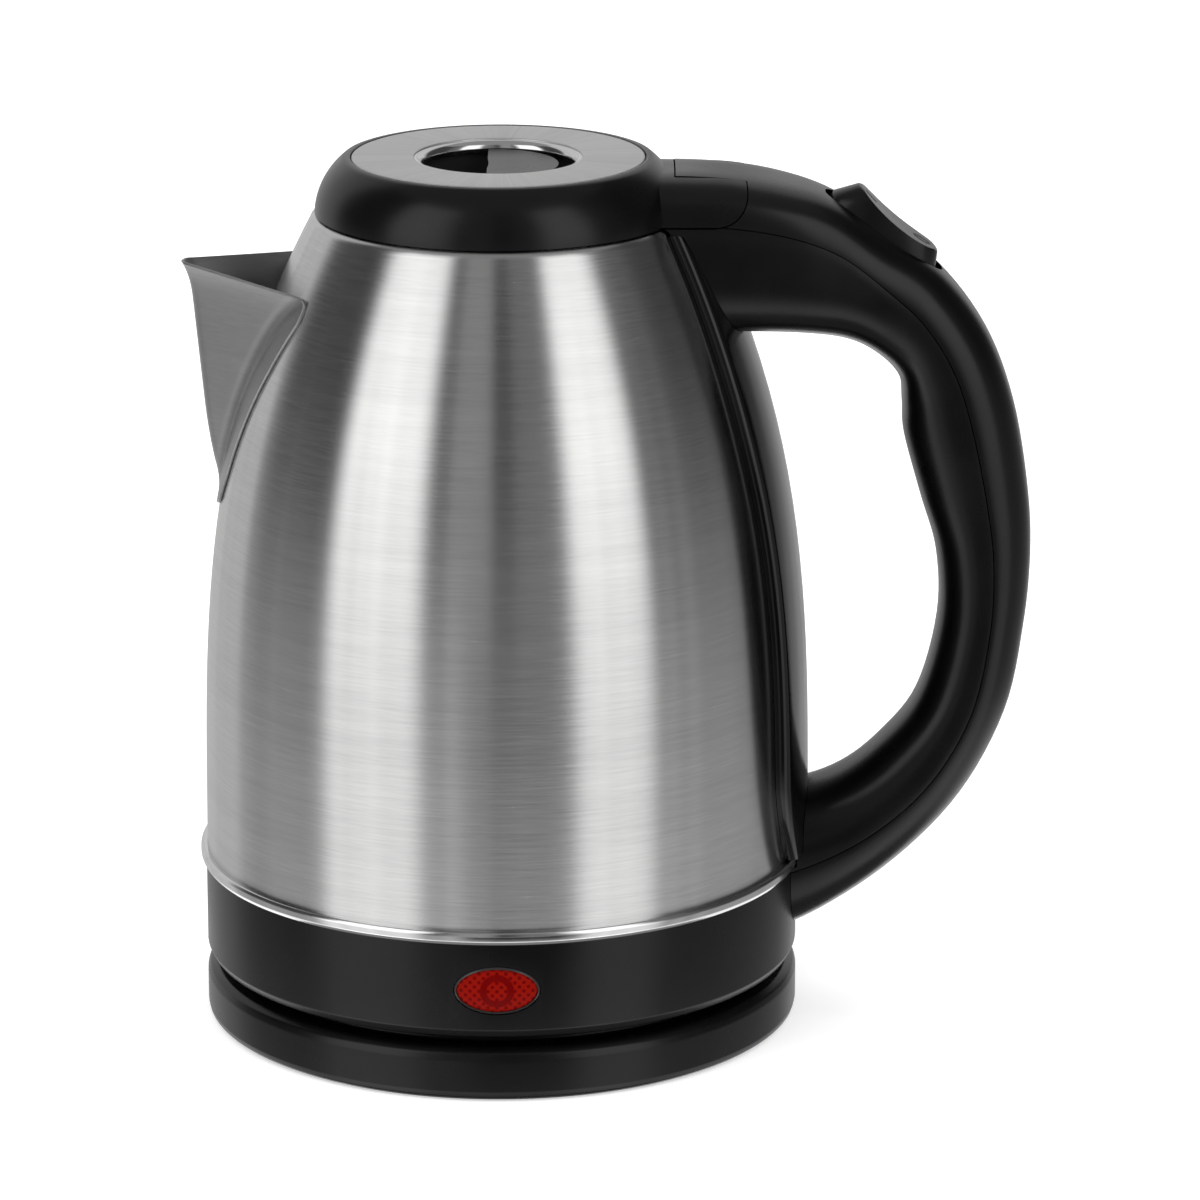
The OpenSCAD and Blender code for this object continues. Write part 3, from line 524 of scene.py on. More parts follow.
def moulding(name, colour, roughness, grain=0.12, size=2600, specular=0.5):
    """A moulded plastic with grain in its bump and a faint mottle in its colour and gloss."""
    material, tree, plastic = new_material(name)
    skin = wired(tree, "Group", {"Size": size}, node_tree=moulded_grain)
    mottle = skin.outputs["Mottle"]
    bump = wired(tree, "Bump", {"Strength": grain, "Distance": 0.00012, "Height": skin.outputs["Height"]})
    feed(tree, plastic, {
        "Base Color": uneven_colour(tree, mottle, colour, 0.85, 1.15),
        "Roughness": fade(tree, mottle, 0.3, 0.7, roughness - 0.03, roughness + 0.03, "LINEAR"),
        "Specular IOR Level": specular,
        "Normal": bump.outputs[0],
    })
    return material


def saddle_half(z):
    """Half the strip's width at a height: drawn in towards both ends."""
    head = HEAD_IN * max(0.0, (z - HEAD_Z) / HEAD_H) ** 2
    tail = TAIL_IN * max(0.0, (TAIL_Z - z) / TAIL_H) ** 2
    return SADDLE_HALF - head - tail


def saddle_ring(z):
    """The strip's section at a height, closed through the inside of the vessel."""
    half, r = saddle_half(z), body_r(z) + SADDLE
    edge = math.asin(min(0.85, half / r))
    side = [(edge, EDGE_D)]
    side += [(edge * (1 - SHOULDER_W / half * (1 - math.cos(a))), SHOULDER_D * (1 - math.sin(a)))
             for a in [math.pi / 2 * k / 11 for k in range(12)]]
    side += [(edge * share, 0.0) for share in (0.86, 0.7, 0.45, 0.2)]
    left = [(BACK_X, -half * 0.7, z)]
    left += [((r - d) * math.cos(a), -(r - d) * math.sin(a), z) for a, d in side]
    return left + [(r, 0, z)] + [(x, -y, height) for x, y, height in reversed(left)]


def face_out(mesh, weld=0.0):
    """The mesh with its faces turned outwards, and points closer than the weld joined."""
    shape = bmesh.new()
    shape.from_mesh(mesh)
    if weld:
        bmesh.ops.remove_doubles(shape, verts=shape.verts, dist=weld)
    bmesh.ops.recalc_face_normals(shape, faces=shape.faces)
    shape.to_mesh(mesh)
    shape.free()
    return mesh


def loft_mesh(name, rings):
    """A closed skin over rings with the same number of points."""
    n = len(rings[0])
    verts = [tuple(p) for r in rings for p in r]
    faces = [tuple(range(n)), tuple(len(verts) - 1 - i for i in range(n))]
    for k in range(len(rings) - 1):
        for i in range(n):
            j = (i + 1) % n
            faces.append((k * n + j, k * n + i, (k + 1) * n + i, (k + 1) * n + j))
    mesh = bpy.data.meshes.new(name)
    mesh.from_pydata(verts, [], faces)
    return face_out(mesh, 2e-6)


gloss_black = moulding("gloss_black", (0.002, 0.002, 0.0021), 0.16, 0.02, 900, 0.4)
saddle_z = [SADDLE_FOOT + (SADDLE_TOP - SADDLE_FOOT) * (0.5 - 0.5 * math.cos(math.pi * i / 34))
            for i in range(35)]
saddle_mesh = loft_mesh("saddle", [saddle_ring(z) for z in saddle_z])
# The vessel's room, cut out of the strip with a hair of clearance.
core = [(0.0, 0.040), (0.07745, 0.040)] + [(body_r(z) + 0.0001, z) for z in heights[2:]]
core += [(0.049, CORE_TOP), (0.0, CORE_TOP)]
saddle_mesh = carve(saddle_mesh, [lathe("core", core)])
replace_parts(link_piece("saddle_strip", saddle_mesh, gloss_black, "kettle", 40), "saddle")

# ---------------------------------------------------------------------------------------------
# The handle: two satin black mouldings, an outer cover and an inner half, closed round the works
# of the switch. A fine step shows where they meet, and the head ends in the hinge's tongue.
PIN_X, PIN_Z = 0.0554, 0.2223
TONGUE, TONGUE_ROOT, TONGUE_ROOM = 0.0105, 0.0434, 0.0115
CHEEK_ROOM, NOSE_ROOM = 0.0082, 0.0107
LID_SEAT_R, LID_SEAT_Z, CLEAR_Y, CLEAR_Z = 0.0475, 0.214, 0.040, 0.240
SEAM_STEP = 0.00012
SEAT = Vector((0.099, 0, 0.2095))
SEAT_LEAN, PIVOT_DEPTH = math.radians(35.3), 0.008
POCKET_L, POCKET_W = 0.0182, 0.0092
# Each station, in millimetres: x and z of the outer side, x and z of the inner side, the half
# width, and last the share of the depth at which the seam runs.
STATIONS = (
    (38, 225.9, 40, 184.8, 22, 0.27), (56, 225.3, 60, 184.7, 22, 0.27),
    (72, 222.9, 77.5, 184.1, 21, 0.29), (86, 218.2, 89.6, 182.1, 19.2, 0.33),
    (100, 208.8, 97.7, 177.6, 17.6, 0.38), (113.7, 199.2, 103, 171.4, 16.4, 0.43),
    (125.5, 183.5, 104, 163.7, 15.6, 0.42), (132.8, 164.5, 104.6, 155.5, 15.2, 0.41),
    (136.9, 141.5, 109, 139.4, 15, 0.41), (137.9, 123.5, 113.4, 124, 15, 0.42),
    (136.4, 104.1, 113.9, 106, 15, 0.42), (132, 81.6, 108.7, 85.5, 15.2, 0.41),
    (120.7, 59.3, 99.2, 72.9, 15.6, 0.4), (103.9, 41.2, 88.8, 64.4, 16.2, 0.43),
    (83.7, 27.1, 76.2, 60, 17, 0.46), (61.8, 16.9, 60, 59.8, 17.4, 0.46),
)
satin_black = moulding("satin_black", (0.0021, 0.0021, 0.0022), 0.26, specular=0.34)


def along_handle(per):
    """Sections along the handle, on a smooth curve through the stations."""
    out = []
    last = len(STATIONS) - 1
    for k in range(last):
        near = [STATIONS[min(max(i, 0), last)] for i in (k - 1, k, k + 1, k + 2)]
        for j in range(per):
            t = j / per
            out.append([0.5 * (2 * b + (c - a) * t + (2 * a - 5 * b + 4 * c - d) * t * t
                               + (3 * b - a - 3 * c + d) * t ** 3) for a, b, c, d in zip(*near)])
    return out + [list(STATIONS[-1])]


def handle_ring(station, outer, points=30):
    """The outer or the inner part of a section: a rounded outline closed along the seam."""
    outer_x, outer_z, inner_x, inner_z, half = (v / 1000 for v in station[:5])
    depth = math.hypot(outer_x - inner_x, outer_z - inner_z) / 2
    power = 2.4 + (station[4] - 15) / 5
    across_x, across_z = (outer_x - inner_x) / (2 * depth), (outer_z - inner_z) / (2 * depth)
    middle_x, middle_z = (outer_x + inner_x) / 2, (outer_z + inner_z) / 2
    seam = 1 - 2 * station[5]
    start = math.acos(max(-1, min(1, math.copysign(abs(seam) ** (power / 2), seam))))
    end = 0.0 if outer else math.pi
    side = []
    for i in range(points + 1):
        a = start + (end - start) * i / points
        u = depth * math.copysign(abs(math.cos(a)) ** (2 / power), math.cos(a))
        side.append((u, half * max(0.0, math.sin(a)) ** (2 / power)))
    step = SEAM_STEP if outer else -SEAM_STEP
    u, w = side[0]
    lip = [(u - step * 0.5, w - 0.0008), (u + step * 0.3, w - 0.0003), (u + step * 1.2, w - 0.00006)]
    near = [(middle_x + across_x * u, w, middle_z + across_z * u) for u, w in lip + side[1:]]
    return near + [(x, -y, z) for x, y, z in reversed(near)]


def slab(name, x0, x1, y0, y1, z0, z1):
    """A block used only to cut with."""
    return loft_mesh(name, [[(x0, y0, z), (x1, y0, z), (x1, y1, z), (x0, y1, z)] for z in (z0, z1)])


def pin_rod(name, y0, y1, radius):
    """A bar along the hinge pin, used only to cut with."""
    return rod(name, (PIN_X, y0, PIN_Z), (PIN_X, y1, PIN_Z), radius, 96)


def lid_room():
    """Cutters that leave the lid its place and the cheeks their swing."""
    hollow = carve(rod("ring", (0, 0, LID_SEAT_Z), (0, 0, CLEAR_Z), LID_SEAT_R, 128),
                   [slab("tongue", TONGUE_ROOT, PIN_X, -TONGUE, TONGUE, 0.200, 0.250)])
    spans = ((TONGUE, CLEAR_Y), (-CLEAR_Y, -TONGUE))
    sides = [slab("side", 0.040, PIN_X, y0, y1, LID_SEAT_Z, CLEAR_Z) for y0, y1 in spans]
    swings = [pin_rod("swing", y0, y1, CHEEK_ROOM) for y0, y1 in spans]
    front = carve(slab("front", 0.030, PIN_X, -TONGUE_ROOM, TONGUE_ROOM, LID_SEAT_Z, CLEAR_Z),
                  [pin_rod("nose", -0.03, 0.03, NOSE_ROOM)])
    return [hollow] + sides + swings + [front]


def oval_ring(half_l, half_w, z, count=72):
    """One ring of the rocker: a blunt oval."""
    out = []
    for a in round_angles(count):
        out.append((half_l * math.copysign(abs(math.cos(a)) ** 0.8, math.cos(a)),
                    half_w * math.copysign(abs(math.sin(a)) ** 0.8, math.sin(a)), z))
    return out


def seat_place(tilt=0.0):
    """Where the rocker's own frame stands on the handle, tilted about its pivot."""
    return (Matrix.Translation(SEAT) @ Matrix.Rotation(SEAT_LEAN, 4, "Y")
            @ Matrix.Translation((0, 0, -PIVOT_DEPTH)) @ Matrix.Rotation(tilt, 4, "Y"))


def in_seat(rings, tilt=0.0):
    """Rings drawn about the rocker's pivot, put in their place on the handle."""
    place = seat_place(tilt)
    return [[place @ Vector(p) for p in ring] for ring in rings]


# The handle lies on the skirt, on the trim ring's bead, on the saddle and round the mouth.
seat = [(0.0, 0.0), (0.0778, 0.0), (0.0778, 0.0423), (0.0793, 0.0423), (0.0793, 0.0459), (0.0809, 0.0462)]
seat += [(body_r(z) + SADDLE + 0.00006, z) for z in heights if z > 0.047]
seat += [(0.049, 0.2127), (0.0485, 0.2134), (0.0476, 0.214), (0.0, 0.214)]
sections = along_handle(6)
cover = loft_mesh("handle_cover", [handle_ring(s, True) for s in sections])
pocket = loft_mesh("pocket", in_seat([oval_ring(POCKET_L, POCKET_W, z) for z in (-0.0005, 0.02)]))
cover = carve(cover, [lathe("seat", seat), pocket] + lid_room())
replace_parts(link_piece("handle_outer", cover, satin_black, "kettle", 34), "handle_cover")
inner = loft_mesh("handle_inner", [handle_ring(s, False) for s in sections])
inner = carve(inner, [lathe("seat", seat)] + lid_room())
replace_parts(link_piece("handle_under", inner, satin_black, "kettle", 34), "handle_inner")

# ---------------------------------------------------------------------------------------------
# The rocker: a dished oval key of satin black ABS on the handle's shoulder, with the usual line
# and ring marks moulded in for on and off.
REST_TILT = math.radians(5)
DISH_R, DISH_FLOOR = 0.061, 0.0114
MARK_ROOT, MARK_TOP = -0.0001, 0.00008
key_rings = [
    oval_ring(0.0168, 0.0084, 0.003), oval_ring(0.017, 0.0086, 0.007),
    oval_ring(0.0137, 0.00755, 0.01195), oval_ring(0.0135, 0.0074, 0.01225),
    oval_ring(0.0131, 0.0071, 0.0125), oval_ring(0.0125, 0.0066, 0.0126),
]
dish_place = seat_place(REST_TILT) @ Matrix.Translation((0, 0, DISH_FLOOR + DISH_R))
dish = rod("dish", (0, -0.02, 0), (0, 0.02, 0), DISH_R, 400)
dish.transform(dish_place)
rocker = carve(loft_mesh("rocker", in_seat(key_rings, REST_TILT)), [dish])
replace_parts(link_piece("rocker_key", rocker, satin_black, "switch", 34), "rocker")


def hoop_mesh(name, rings):
    """A closed skin over rings that come round again to the first."""
    n, count = len(rings[0]), len(rings)
    faces = []
    for k in range(count):
        here, there = k * n, ((k + 1) % count) * n
        faces += [(here + i, here + (i + 1) % n, there + (i + 1) % n, there + i) for i in range(n)]
    mesh = bpy.data.meshes.new(name)
    mesh.from_pydata([tuple(p) for ring in rings for p in ring], [], faces)
    return face_out(mesh)


def dish_mark(name, x, outer, inner):
    """A low mark that follows the dish, between an outer and an inner oval round a place on it."""
    rings = []
    for oval, lift in ((outer, MARK_ROOT), (outer, MARK_TOP), (inner, MARK_TOP), (inner, MARK_ROOT)):
        ring = []
        for a in [math.pi * i / 24 for i in range(48)]:
            along = x + oval[0] * math.cos(a)
            down = math.sqrt((DISH_R - lift) ** 2 - along * along)
            ring.append(dish_place @ Vector((along, oval[1] * math.sin(a), -down)))
        rings.append(ring)
    return hoop_mesh(name, rings)


dark_plastic = moulding("dark_plastic", (0.018, 0.018, 0.019), 0.5, 0.15, 2200)
ring_mark = dish_mark("ring_mark", 0.0084, (0.0026, 0.0019), (0.0020, 0.0013))
bar_mark = dish_mark("bar_mark", -0.0088, (0.0021, 0.00042), (0.0001, 0.00004))
link_piece("mark_off", ring_mark, dark_plastic, "switch", 30)
link_piece("mark_on", bar_mark, dark_plastic, "switch", 30)

# ---------------------------------------------------------------------------------------------
# The lid: a domed ring of satin black plastic, moulded in one with two cheeks at the back that
# take the hinge pin on both sides of the handle's tongue.
ARC_R, ARC_X, ARC_Z = 0.019, 0.02816, 0.2132
LID_R, LID_FOOT, LID_Z, LID_WALL = 0.0471, 0.2143, 0.2284, 0.0022
DISC_SEAT_R, WELL_R, ROOF_R, ROOF_Z = 0.0378, 0.024, 0.0365, 0.2252
CHEEK_Y, CHEEK_POWER, CHEEK_FOOT, CHEEK_TOP, CHEEK_END = 0.022, 3.8, 0.198, 0.22535, 0.0079
SLOPE_X, CHEEK_SLOPE, DROP_X, CHEEK_DROP = 0.056, math.radians(1.2), 0.054, 7.8
GAP_Y, GAP_R, CUT_Z = 0.0108, 0.011, 0.2144


def lid_side(inset, count=22):
    """The lid's rounded flank, from its foot up to the edge of the top."""
    foot = math.atan2(LID_FOOT - ARC_Z, LID_R - ARC_X)
    top = math.atan2(LID_Z - ARC_Z - 0.0003, 0.0396 - ARC_X)
    out = []
    for i in range(count + 1):
        a = foot + (top - foot) * i / count
        out.append((ARC_X + (ARC_R - inset) * math.cos(a),
                    max(LID_FOOT, ARC_Z + (ARC_R - inset) * math.sin(a))))
    return out


def arm_ring(x):
    """The arm's section: upright sides that round over into a crowned top, sloping to the hinge."""
    top = CHEEK_TOP - (x - SLOPE_X) * math.tan(CHEEK_SLOPE) - CHEEK_DROP * max(0.0, x - DROP_X) ** 2
    crown = []
    for i in range(61):
        y = CHEEK_Y * math.cos(math.pi * i / 60)
        fall = (1 - min(1, abs(y) / CHEEK_Y) ** CHEEK_POWER) ** (1 / CHEEK_POWER)
        crown.append((x, y, top - CHEEK_Y + CHEEK_Y * fall))
    return [(x, CHEEK_Y, CHEEK_FOOT)] + crown + [(x, -CHEEK_Y, CHEEK_FOOT)]


# Up the flank, over the lip round the disc's seat, down into the well, and back along the inside.
dome = lid_side(0)
dome += [(0.0391, 0.22835), (0.0386, 0.22845), (0.0382, 0.22847), (0.0379, 0.22838)]
dome += [(DISC_SEAT_R, 0.2281), (DISC_SEAT_R, 0.2273), (WELL_R, 0.2273), (WELL_R, ROOF_Z), (ROOF_R, ROOF_Z)]
dome += list(reversed(lid_side(LID_WALL)))
# The arm runs back from the dome. What would fill the lid is cut out of it, it ends round the pin,
# and a gap for the tongue leaves two cheeks.
arm = loft_mesh("arm", [arm_ring(0.030 + 0.0024 * i) for i in range(15)])
hollow_core = [(0.0, 0.200), (0.0449, 0.200)] + lid_side(LID_WALL) + [(ROOF_R, ROOF_Z), (0.0, ROOF_Z)]
crown_cut = rod("crown", (0, 0, 0.2251), (0, 0, CLEAR_Z), 0.0387, 128)
arm = carve(arm, [lathe("core", hollow_core), crown_cut])
keep = carve(slab("keep", 0.020, PIN_X, -0.03, 0.03, CUT_Z, CLEAR_Z),
             [pin_rod("end", -0.03, 0.03, CHEEK_END)], "UNION")
arm = carve(arm, [keep], "INTERSECT")
arm = carve(arm, [slab("under", 0.0, 0.08, -0.04, 0.04, 0.190, CUT_Z)])
lid = carve(lathe("lid_cover", dome, 224), [arm], "UNION")
lid = carve(lid, [pin_rod("barrel", -GAP_Y, GAP_Y, GAP_R),
                  slab("gap", 0.0504, 0.0704, -GAP_Y, GAP_Y, 0.205, CLEAR_Z)])
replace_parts(link_piece("lid_dome", lid, satin_black, "lid", 34), "lid_cover")

# ---------------------------------------------------------------------------------------------
# The lid's disc: a ring of stainless sheet with a fine rolled edge, pressed into the top of the
# lid's dome.
DISC_IN, DISC_OUT, DISC_LOW, DISC_TOP = 0.0215, 0.0376, 0.22735, 0.2285


def rounded(corners, steps=5):
    """A closed outline with its corners rounded: each corner is (x, y) or (x, y, radius)."""
    out = []
    n = len(corners)
    for i, corner in enumerate(corners):
        p = Vector(corner[:2])
        r = corner[2] if len(corner) > 2 else 0
        a = Vector(corners[i - 1][:2]) - p
        b = Vector(corners[(i + 1) % n][:2]) - p
        if r <= 0 or a.angle(b) > math.radians(178):
            out.append(tuple(p))
            continue
        angle = a.angle(b)
        cut = min(r / math.tan(angle / 2), a.length * 0.49, b.length * 0.49)
        r = cut * math.tan(angle / 2)
        a.normalize()
        b.normalize()
        middle = p + (a + b).normalized() * (r / math.sin(angle / 2))
        start, end = p + a * cut - middle, p + b * cut - middle
        sweep = start.angle_signed(end)
        for k in range(steps + 1):
            out.append(tuple(middle + Matrix.Rotation(-sweep * k / steps, 2) @ start))
    return out


disc_steel = brushed_steel("disc_steel", (0.72, 0.72, 0.716), 0.5, 0.0, 900, 40, 0.03, False)
disc = rounded([(DISC_IN, DISC_LOW), (DISC_OUT, DISC_LOW), (DISC_OUT, DISC_TOP, 0.0006),
                (DISC_IN, DISC_TOP, 0.0004)], 6)
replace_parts(link_piece("lid_disc_plate", lathe("disc", disc, 224), disc_steel, "lid"), "lid_disc")

# ---------------------------------------------------------------------------------------------
# The bright rim of the finger hole: a plated plastic ring with a rolled top, pushed into the hole
# of the disc.
RIM_OUT, RIM_ROLL_X, RIM_ROLL_Z, RIM_ROLL_R = 0.0239, 0.02145, 0.226, 0.0021
bright, tree, plate = new_material("bright_plate")
haze = wired(tree, "TexNoise", {"Vector": wired(tree, "TexCoord").outputs["Object"], "Scale": 160})
feed(tree, plate, {
    "Base Color": (0.72, 0.72, 0.72, 1),
    "Metallic": 1,
    "Roughness": fade(tree, haze.outputs["Fac"], 0, 1, 0.09, 0.2, "LINEAR"),
})
roll = [(RIM_ROLL_X - 0.00215 * math.sin(a), RIM_ROLL_Z + RIM_ROLL_R * math.cos(a))
        for a in [math.pi / 2 * k / 14 for k in range(15)]]
rim = [(RIM_OUT, ROOF_Z), (RIM_OUT, 0.2273), (RIM_ROLL_X, 0.2273)] + roll + [(0.0193, ROOF_Z)]
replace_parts(link_piece("hole_rim", lathe("rim", rim, 192), bright, "lid"), "lid_rim")

# ---------------------------------------------------------------------------------------------
# The trim ring: a bright plated bead with rounded shoulders, pressed on between the foot of the
# vessel and the skirt.
BEAD_LOW, BEAD_HIGH, BEAD_IN, BEAD_EDGE, BEAD_OUT = 0.0424, 0.0457, 0.07742, 0.0786, 0.0791
bead = rounded([(BEAD_IN, BEAD_LOW), (BEAD_EDGE, BEAD_LOW, 0.0005), (BEAD_OUT, 0.0434, 0.0009),
                (BEAD_OUT, 0.0449, 0.0009), (BEAD_EDGE, BEAD_HIGH, 0.0005), (BEAD_IN, BEAD_HIGH)])
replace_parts(link_piece("trim_bead", lathe("bead", bead, 224), bright, "kettle"), "trim_ring")

# ---------------------------------------------------------------------------------------------
# The skirt: the satin black moulding under the vessel that houses the works, with an oval opening
# for the indicator.
SKIRT_LOW, SKIRT_TOP, SKIRT_IN, SKIRT_OUT = 0.017, 0.0423, 0.0753, 0.0777
LENS_Z, LENS_W, LENS_H, LENS_POINTS = 0.030, 0.0102, 0.0056, 96
OPENING_GROW = 0.0009
opening = [[((LENS_W + OPENING_GROW) * math.cos(a), y, LENS_Z + (LENS_H + OPENING_GROW) * math.sin(a))
            for a in round_angles(LENS_POINTS)] for y in (-0.085, -0.060)]
skirt = rounded([(SKIRT_IN, SKIRT_LOW), (0.0765, SKIRT_LOW, 0.0008), (SKIRT_OUT, 0.0192, 0.0015),
                 (SKIRT_OUT, SKIRT_TOP, 0.0004), (0.062, SKIRT_TOP), (0.062, 0.0403), (SKIRT_IN, 0.0399)], 6)
skirt_mesh = carve(lathe("skirt", skirt, 224), [loft_mesh("opening", opening)])
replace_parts(link_piece("skirt_shell", skirt_mesh, satin_black, "kettle"), "skirt")

# ---------------------------------------------------------------------------------------------
# The indicator's lens: a red moulded window, slightly domed, with a grid of dark dots behind it
# and a dark ring round its middle, clipped into the skirt.
LENS_R, LENS_BACK, LENS_BULGE, LENS_STEPS = 0.0775, 0.0758, 0.0007, 16
DOT_PITCH, RING_R = 0.00227, 0.0035
red, tree, lens_skin = new_material("red_lens")
axes = own_axes(tree)


def wave(way, shift=0.0):
    """A cosine along one of the lens's axes."""
    return maths(red.node_tree, "COSINE",
                 maths(red.node_tree, "MULTIPLY_ADD", way, 2 * math.pi / DOT_PITCH, shift))


grid = maths(tree, "MULTIPLY", wave(axes["X"]), wave(axes["Z"], -2 * math.pi * LENS_Z / DOT_PITCH))
rise = maths(tree, "SUBTRACT", axes["Z"], LENS_Z)
squares = [maths(tree, "MULTIPLY", way, way) for way in (axes["X"], rise)]
from_middle = maths(tree, "SQRT", maths(tree, "ADD", *squares))
off_ring = maths(tree, "ABSOLUTE", maths(tree, "SUBTRACT", from_middle, RING_R))
web = maths(tree, "MULTIPLY", fade(tree, grid, 0.0, 0.6, 1, 0), fade(tree, off_ring, 0.0006, 0.0011))
glow = wired(tree, "Mix", {"Factor": web, "A": (0.16, 0.0, 0.0, 1), "B": (0.29, 0.005, 0.001, 1)},
             data_type="RGBA")
prisms = wired(tree, "Bump", {"Strength": 0.25, "Distance": 0.0004, "Height": web})
feed(tree, lens_skin, {
    "Base Color": glow.outputs["Result"],
    "Roughness": 0.3,
    "Specular IOR Level": 0.04,
    "Coat Weight": 0.04,
    "Coat Roughness": 0.06,
    "Normal": prisms.outputs[0],
})


def oval_on_skirt(half_w, half_h, radius):
    """An upright oval round the indicator's middle, laid on a cylinder round the kettle's axis."""
    out = []
    for a in round_angles(LENS_POINTS):
        x = half_w * math.cos(a)
        out.append((x, -math.sqrt(radius ** 2 - x * x), LENS_Z + half_h * math.sin(a)))
    return out


lens_rings = []
for k in range(LENS_STEPS + 1):
    share = k / LENS_STEPS
    bulge = LENS_BULGE * (1 - share ** 2.6)
    lens_rings.append(oval_on_skirt(LENS_W * share, LENS_H * share, LENS_R + bulge))
lens_rings.append(oval_on_skirt(LENS_W, LENS_H, LENS_BACK))
faces = []
for k in range(len(lens_rings) - 1):
    here, there = k * LENS_POINTS, (k + 1) * LENS_POINTS
    for i in range(LENS_POINTS):
        j = (i + 1) % LENS_POINTS
        faces.append((here + i, here + j, there + j, there + i))
lens_mesh = bpy.data.meshes.new("lens")
lens_mesh.from_pydata([p for ring in lens_rings for p in ring], [], faces)
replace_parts(link_piece("red_window", face_out(lens_mesh, 1e-6), red, "kettle", 60), "lens")

# ---------------------------------------------------------------------------------------------
# The lens's rim: a thin lip of dark clear plastic round the window, moulded on one piece with the
# frame that clips into the skirt.
RIM_SECTION = ((0.0001, 0.0760), (0.0001, 0.0779), (0.00022, 0.07805), (0.00042, 0.07795),
               (0.0008, 0.0774), (0.0008, 0.0760))
clear_grey = moulding("clear_grey", (0.03, 0.027, 0.027), 0.12, 0.0)
rim_rings = [oval_on_skirt(LENS_W + grow, LENS_H + grow, r) for grow, r in RIM_SECTION]
window_rim = hoop_mesh("lens_rim", rim_rings)
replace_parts(link_piece("window_rim", window_rim, clear_grey, "kettle", 60), "lens_rim")

# ---------------------------------------------------------------------------------------------
# The power base: a low satin black dish, moulded in one with the raised ring that centres the
# kettle, and a hole at the back for the cord's gland.
BASE_OUT, BASE_IN, STEP_Z, RING_TOP, HUB_TOP = 0.0778, 0.0756, 0.014, 0.0182, 0.0164
GLAND_Z, GLAND_R = 0.0066, 0.0051
# From the outer foot over the step, the centring ring and the hub round the post, and back inside.
base = rounded([
    (0.0764, 0.0003, 0.0004), (0.0775, 0.0012, 0.001), (BASE_OUT, 0.0026, 0.002), (BASE_OUT, 0.0110, 0.002),
    (0.0772, 0.0127, 0.0015), (0.0754, STEP_Z, 0.0016), (0.071, STEP_Z, 0.0008), (0.0694, RING_TOP, 0.0008),
    (0.066, RING_TOP, 0.0008), (0.0645, 0.0134, 0.0008), (0.026, 0.0128, 0.001), (0.024, HUB_TOP, 0.0008),
    (0.019, HUB_TOP, 0.0006), (0.018, STEP_Z), (0.018, 0.011), (0.060, 0.011), (0.0744, 0.0116),
    (BASE_IN, 0.0094), (BASE_IN, 0.0003),
])
gland_hole = rod("gland_hole", (0, 0.070, GLAND_Z), (0, 0.083, GLAND_Z), GLAND_R)
base_mesh = carve(lathe("base", base, 224), [gland_hole])
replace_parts(link_piece("base_dish", base_mesh, satin_black, "base"), "base_shell")

# ---------------------------------------------------------------------------------------------
# Under the base: a plate screwed on from below, four rubber pads, the round connector post with
# its brass contacts, and the gland. These and the pieces below keep the assembly's own solids.
METAL_GRAIN = 1800
SMOOTH_BELOW, WELD = math.radians(32), 2e-6
smooth = bpy.data.node_groups.new("smooth_by_angle", "GeometryNodeTree")
for way in ("INPUT", "OUTPUT"):
    smooth.interface.new_socket("Geometry", in_out=way, socket_type="NodeSocketGeometry")
solid_in, solid_out = smooth.nodes.new("NodeGroupInput"), smooth.nodes.new("NodeGroupOutput")
weld = smooth.nodes.new("GeometryNodeMergeByDistance")
weld.inputs["Distance"].default_value = WELD
angle = smooth.nodes.new("GeometryNodeInputMeshEdgeAngle")
low_angle = smooth.nodes.new("FunctionNodeCompare")
low_angle.data_type = "FLOAT"
low_angle.operation = "LESS_THAN"
low_angle.inputs["B"].default_value = SMOOTH_BELOW
soft_faces = smooth.nodes.new("GeometryNodeSetShadeSmooth")
soft_faces.domain = "FACE"
soft_edges = smooth.nodes.new("GeometryNodeSetShadeSmooth")
soft_edges.domain = "EDGE"
for source, target in (
    (solid_in.outputs[0], weld.inputs["Geometry"]),
    (weld.outputs[0], soft_faces.inputs["Geometry"]),
    (soft_faces.outputs[0], soft_edges.inputs["Geometry"]),
    (angle.outputs["Unsigned Angle"], low_angle.inputs["A"]),
    (low_angle.outputs[0], soft_edges.inputs["Shade Smooth"]),
    (soft_edges.outputs[0], solid_out.inputs[0]),
):
    smooth.links.new(source, target)


def finish_solids(finish, *names):
    """Gives solids their finish, and shades them smooth where their faces meet at a low angle."""
    for name in names:
        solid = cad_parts[name]
        solid.data.materials.clear()
        solid.data.materials.append(finish)
        solid.modifiers.new("smooth", "NODES").node_group = smooth


def metal(name, colour, roughness):
    """A plain metal with a hazy, uneven gloss."""
    material, tree, plain = new_material(name)
    skin = wired(tree, "Group", {"Size": METAL_GRAIN}, node_tree=moulded_grain)
    haze = skin.outputs["Height"]
    feed(tree, plain, {
        "Base Color": uneven_colour(tree, skin.outputs["Mottle"], colour, 0.85, 1.1),
        "Metallic": 1,
        "Roughness": fade(tree, haze, 0, 1, roughness - 0.08, roughness + 0.08, "LINEAR"),
    })
    return material


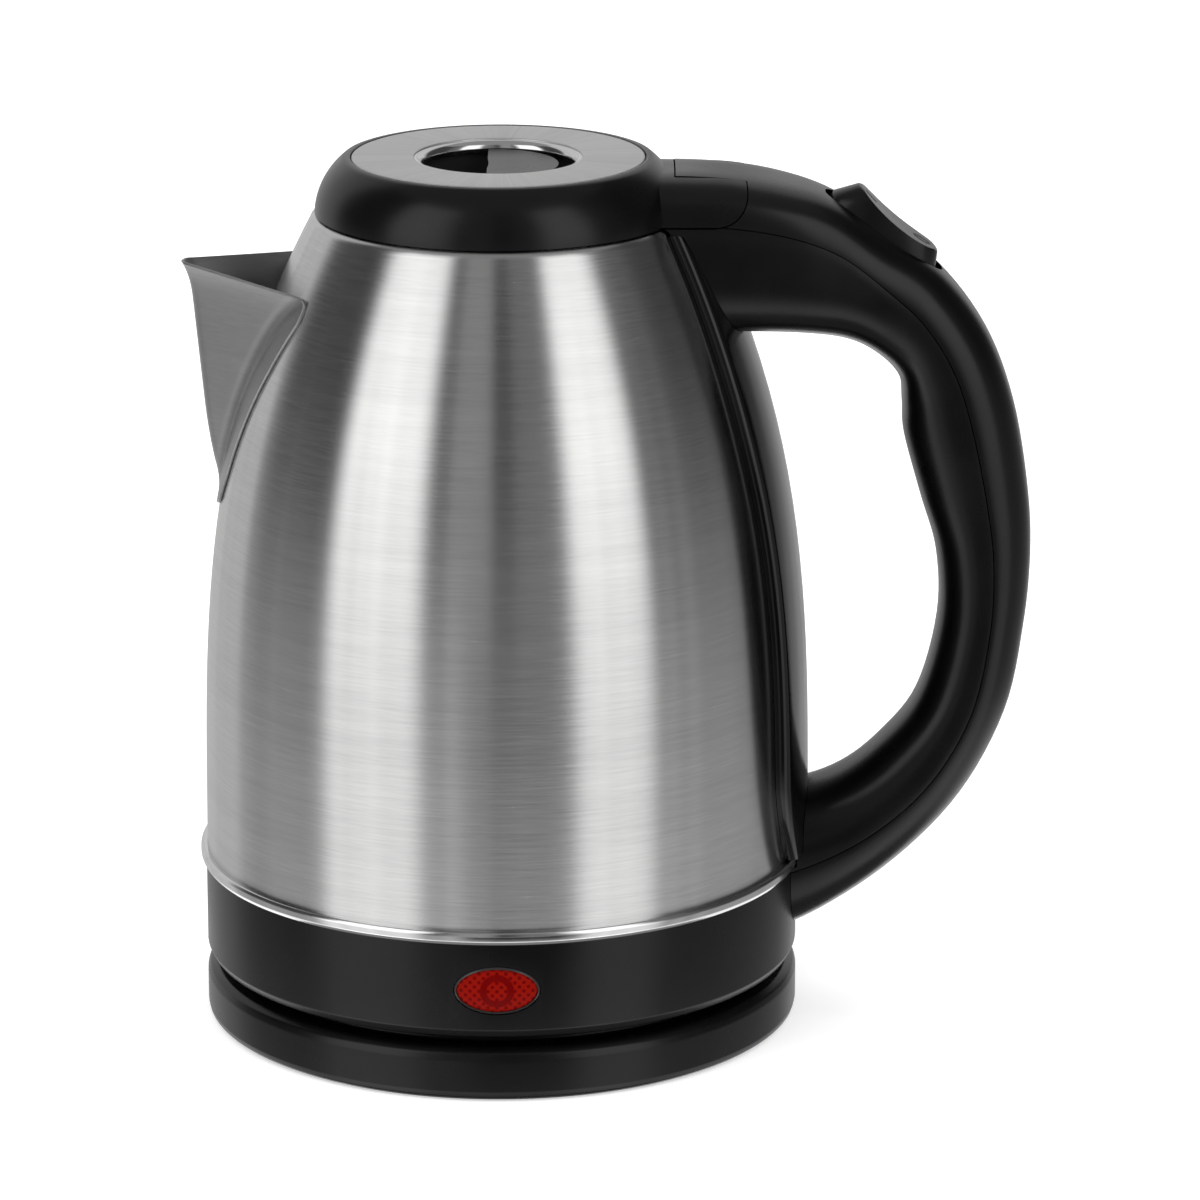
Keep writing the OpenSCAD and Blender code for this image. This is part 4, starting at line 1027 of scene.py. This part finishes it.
zinc = metal("zinc_screws", (0.62, 0.62, 0.6), 0.35)
brass = metal("brass_contacts", (0.78, 0.56, 0.25), 0.3)
rubber = moulding("rubber_feet", (0.012, 0.012, 0.012), 0.7, 0.3, 1500)
finish_solids(dark_plastic, "base_plate")
finish_solids(rubber, "base_pads", "cord_gland")
finish_solids(zinc, "base_screws")
finish_solids(satin_black, "base_post")
finish_solids(brass, "base_contacts")

# ---------------------------------------------------------------------------------------------
# The kettle's socket: a moulded cup that turns on the post, with a brass ring and pin pressed
# into it.
finish_solids(dark_plastic, "socket_cup")
finish_solids(brass, "socket_contacts")

# ---------------------------------------------------------------------------------------------
# Inside the skirt: the polished heater plate brazed to the vessel, the cast diffuser and element
# under it, the thermostat control on its discs, the lamp, and the cover screwed on from below.
polished = metal("polished_floor", (0.62, 0.62, 0.62), 0.22)
cast = metal("cast_aluminium", (0.7, 0.7, 0.71), 0.5)
natural = moulding("natural_nylon", (0.72, 0.70, 0.62), 0.45)
finish_solids(polished, "heater_plate")
finish_solids(cast, "diffuser", "heating_element")
finish_solids(natural, "thermostat")
finish_solids(brass, "bimetal_discs")
finish_solids(clear_grey, "lamp")
finish_solids(dark_plastic, "bottom_cover")
finish_solids(zinc, "cover_screws")

# ---------------------------------------------------------------------------------------------
# At the mouth and in the handle: the collar that the lid closes on, the knuckle with its steel
# hinge pin, the steam switch with its disc and silicone duct, and the screws of the handle.
silicone = moulding("silicone", (0.62, 0.62, 0.60), 0.55)
finish_solids(dark_plastic, "collar", "knuckle")
finish_solids(polished, "hinge_pin")
finish_solids(natural, "steam_switch")
finish_solids(brass, "steam_disc")
finish_solids(silicone, "steam_duct")
finish_solids(zinc, "handle_screws")

# ---------------------------------------------------------------------------------------------
# Inside the lid: the black well under the finger hole, the plug with its seal and screws, and the
# latch, a pad on a nylon slide that a coil spring pushes out.
finish_solids(dark_plastic, "lid_well", "lid_plug")
finish_solids(silicone, "lid_seal")
finish_solids(satin_black, "latch_pad")
finish_solids(natural, "latch_slide")
finish_solids(zinc, "lid_screws", "latch_spring")

low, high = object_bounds()
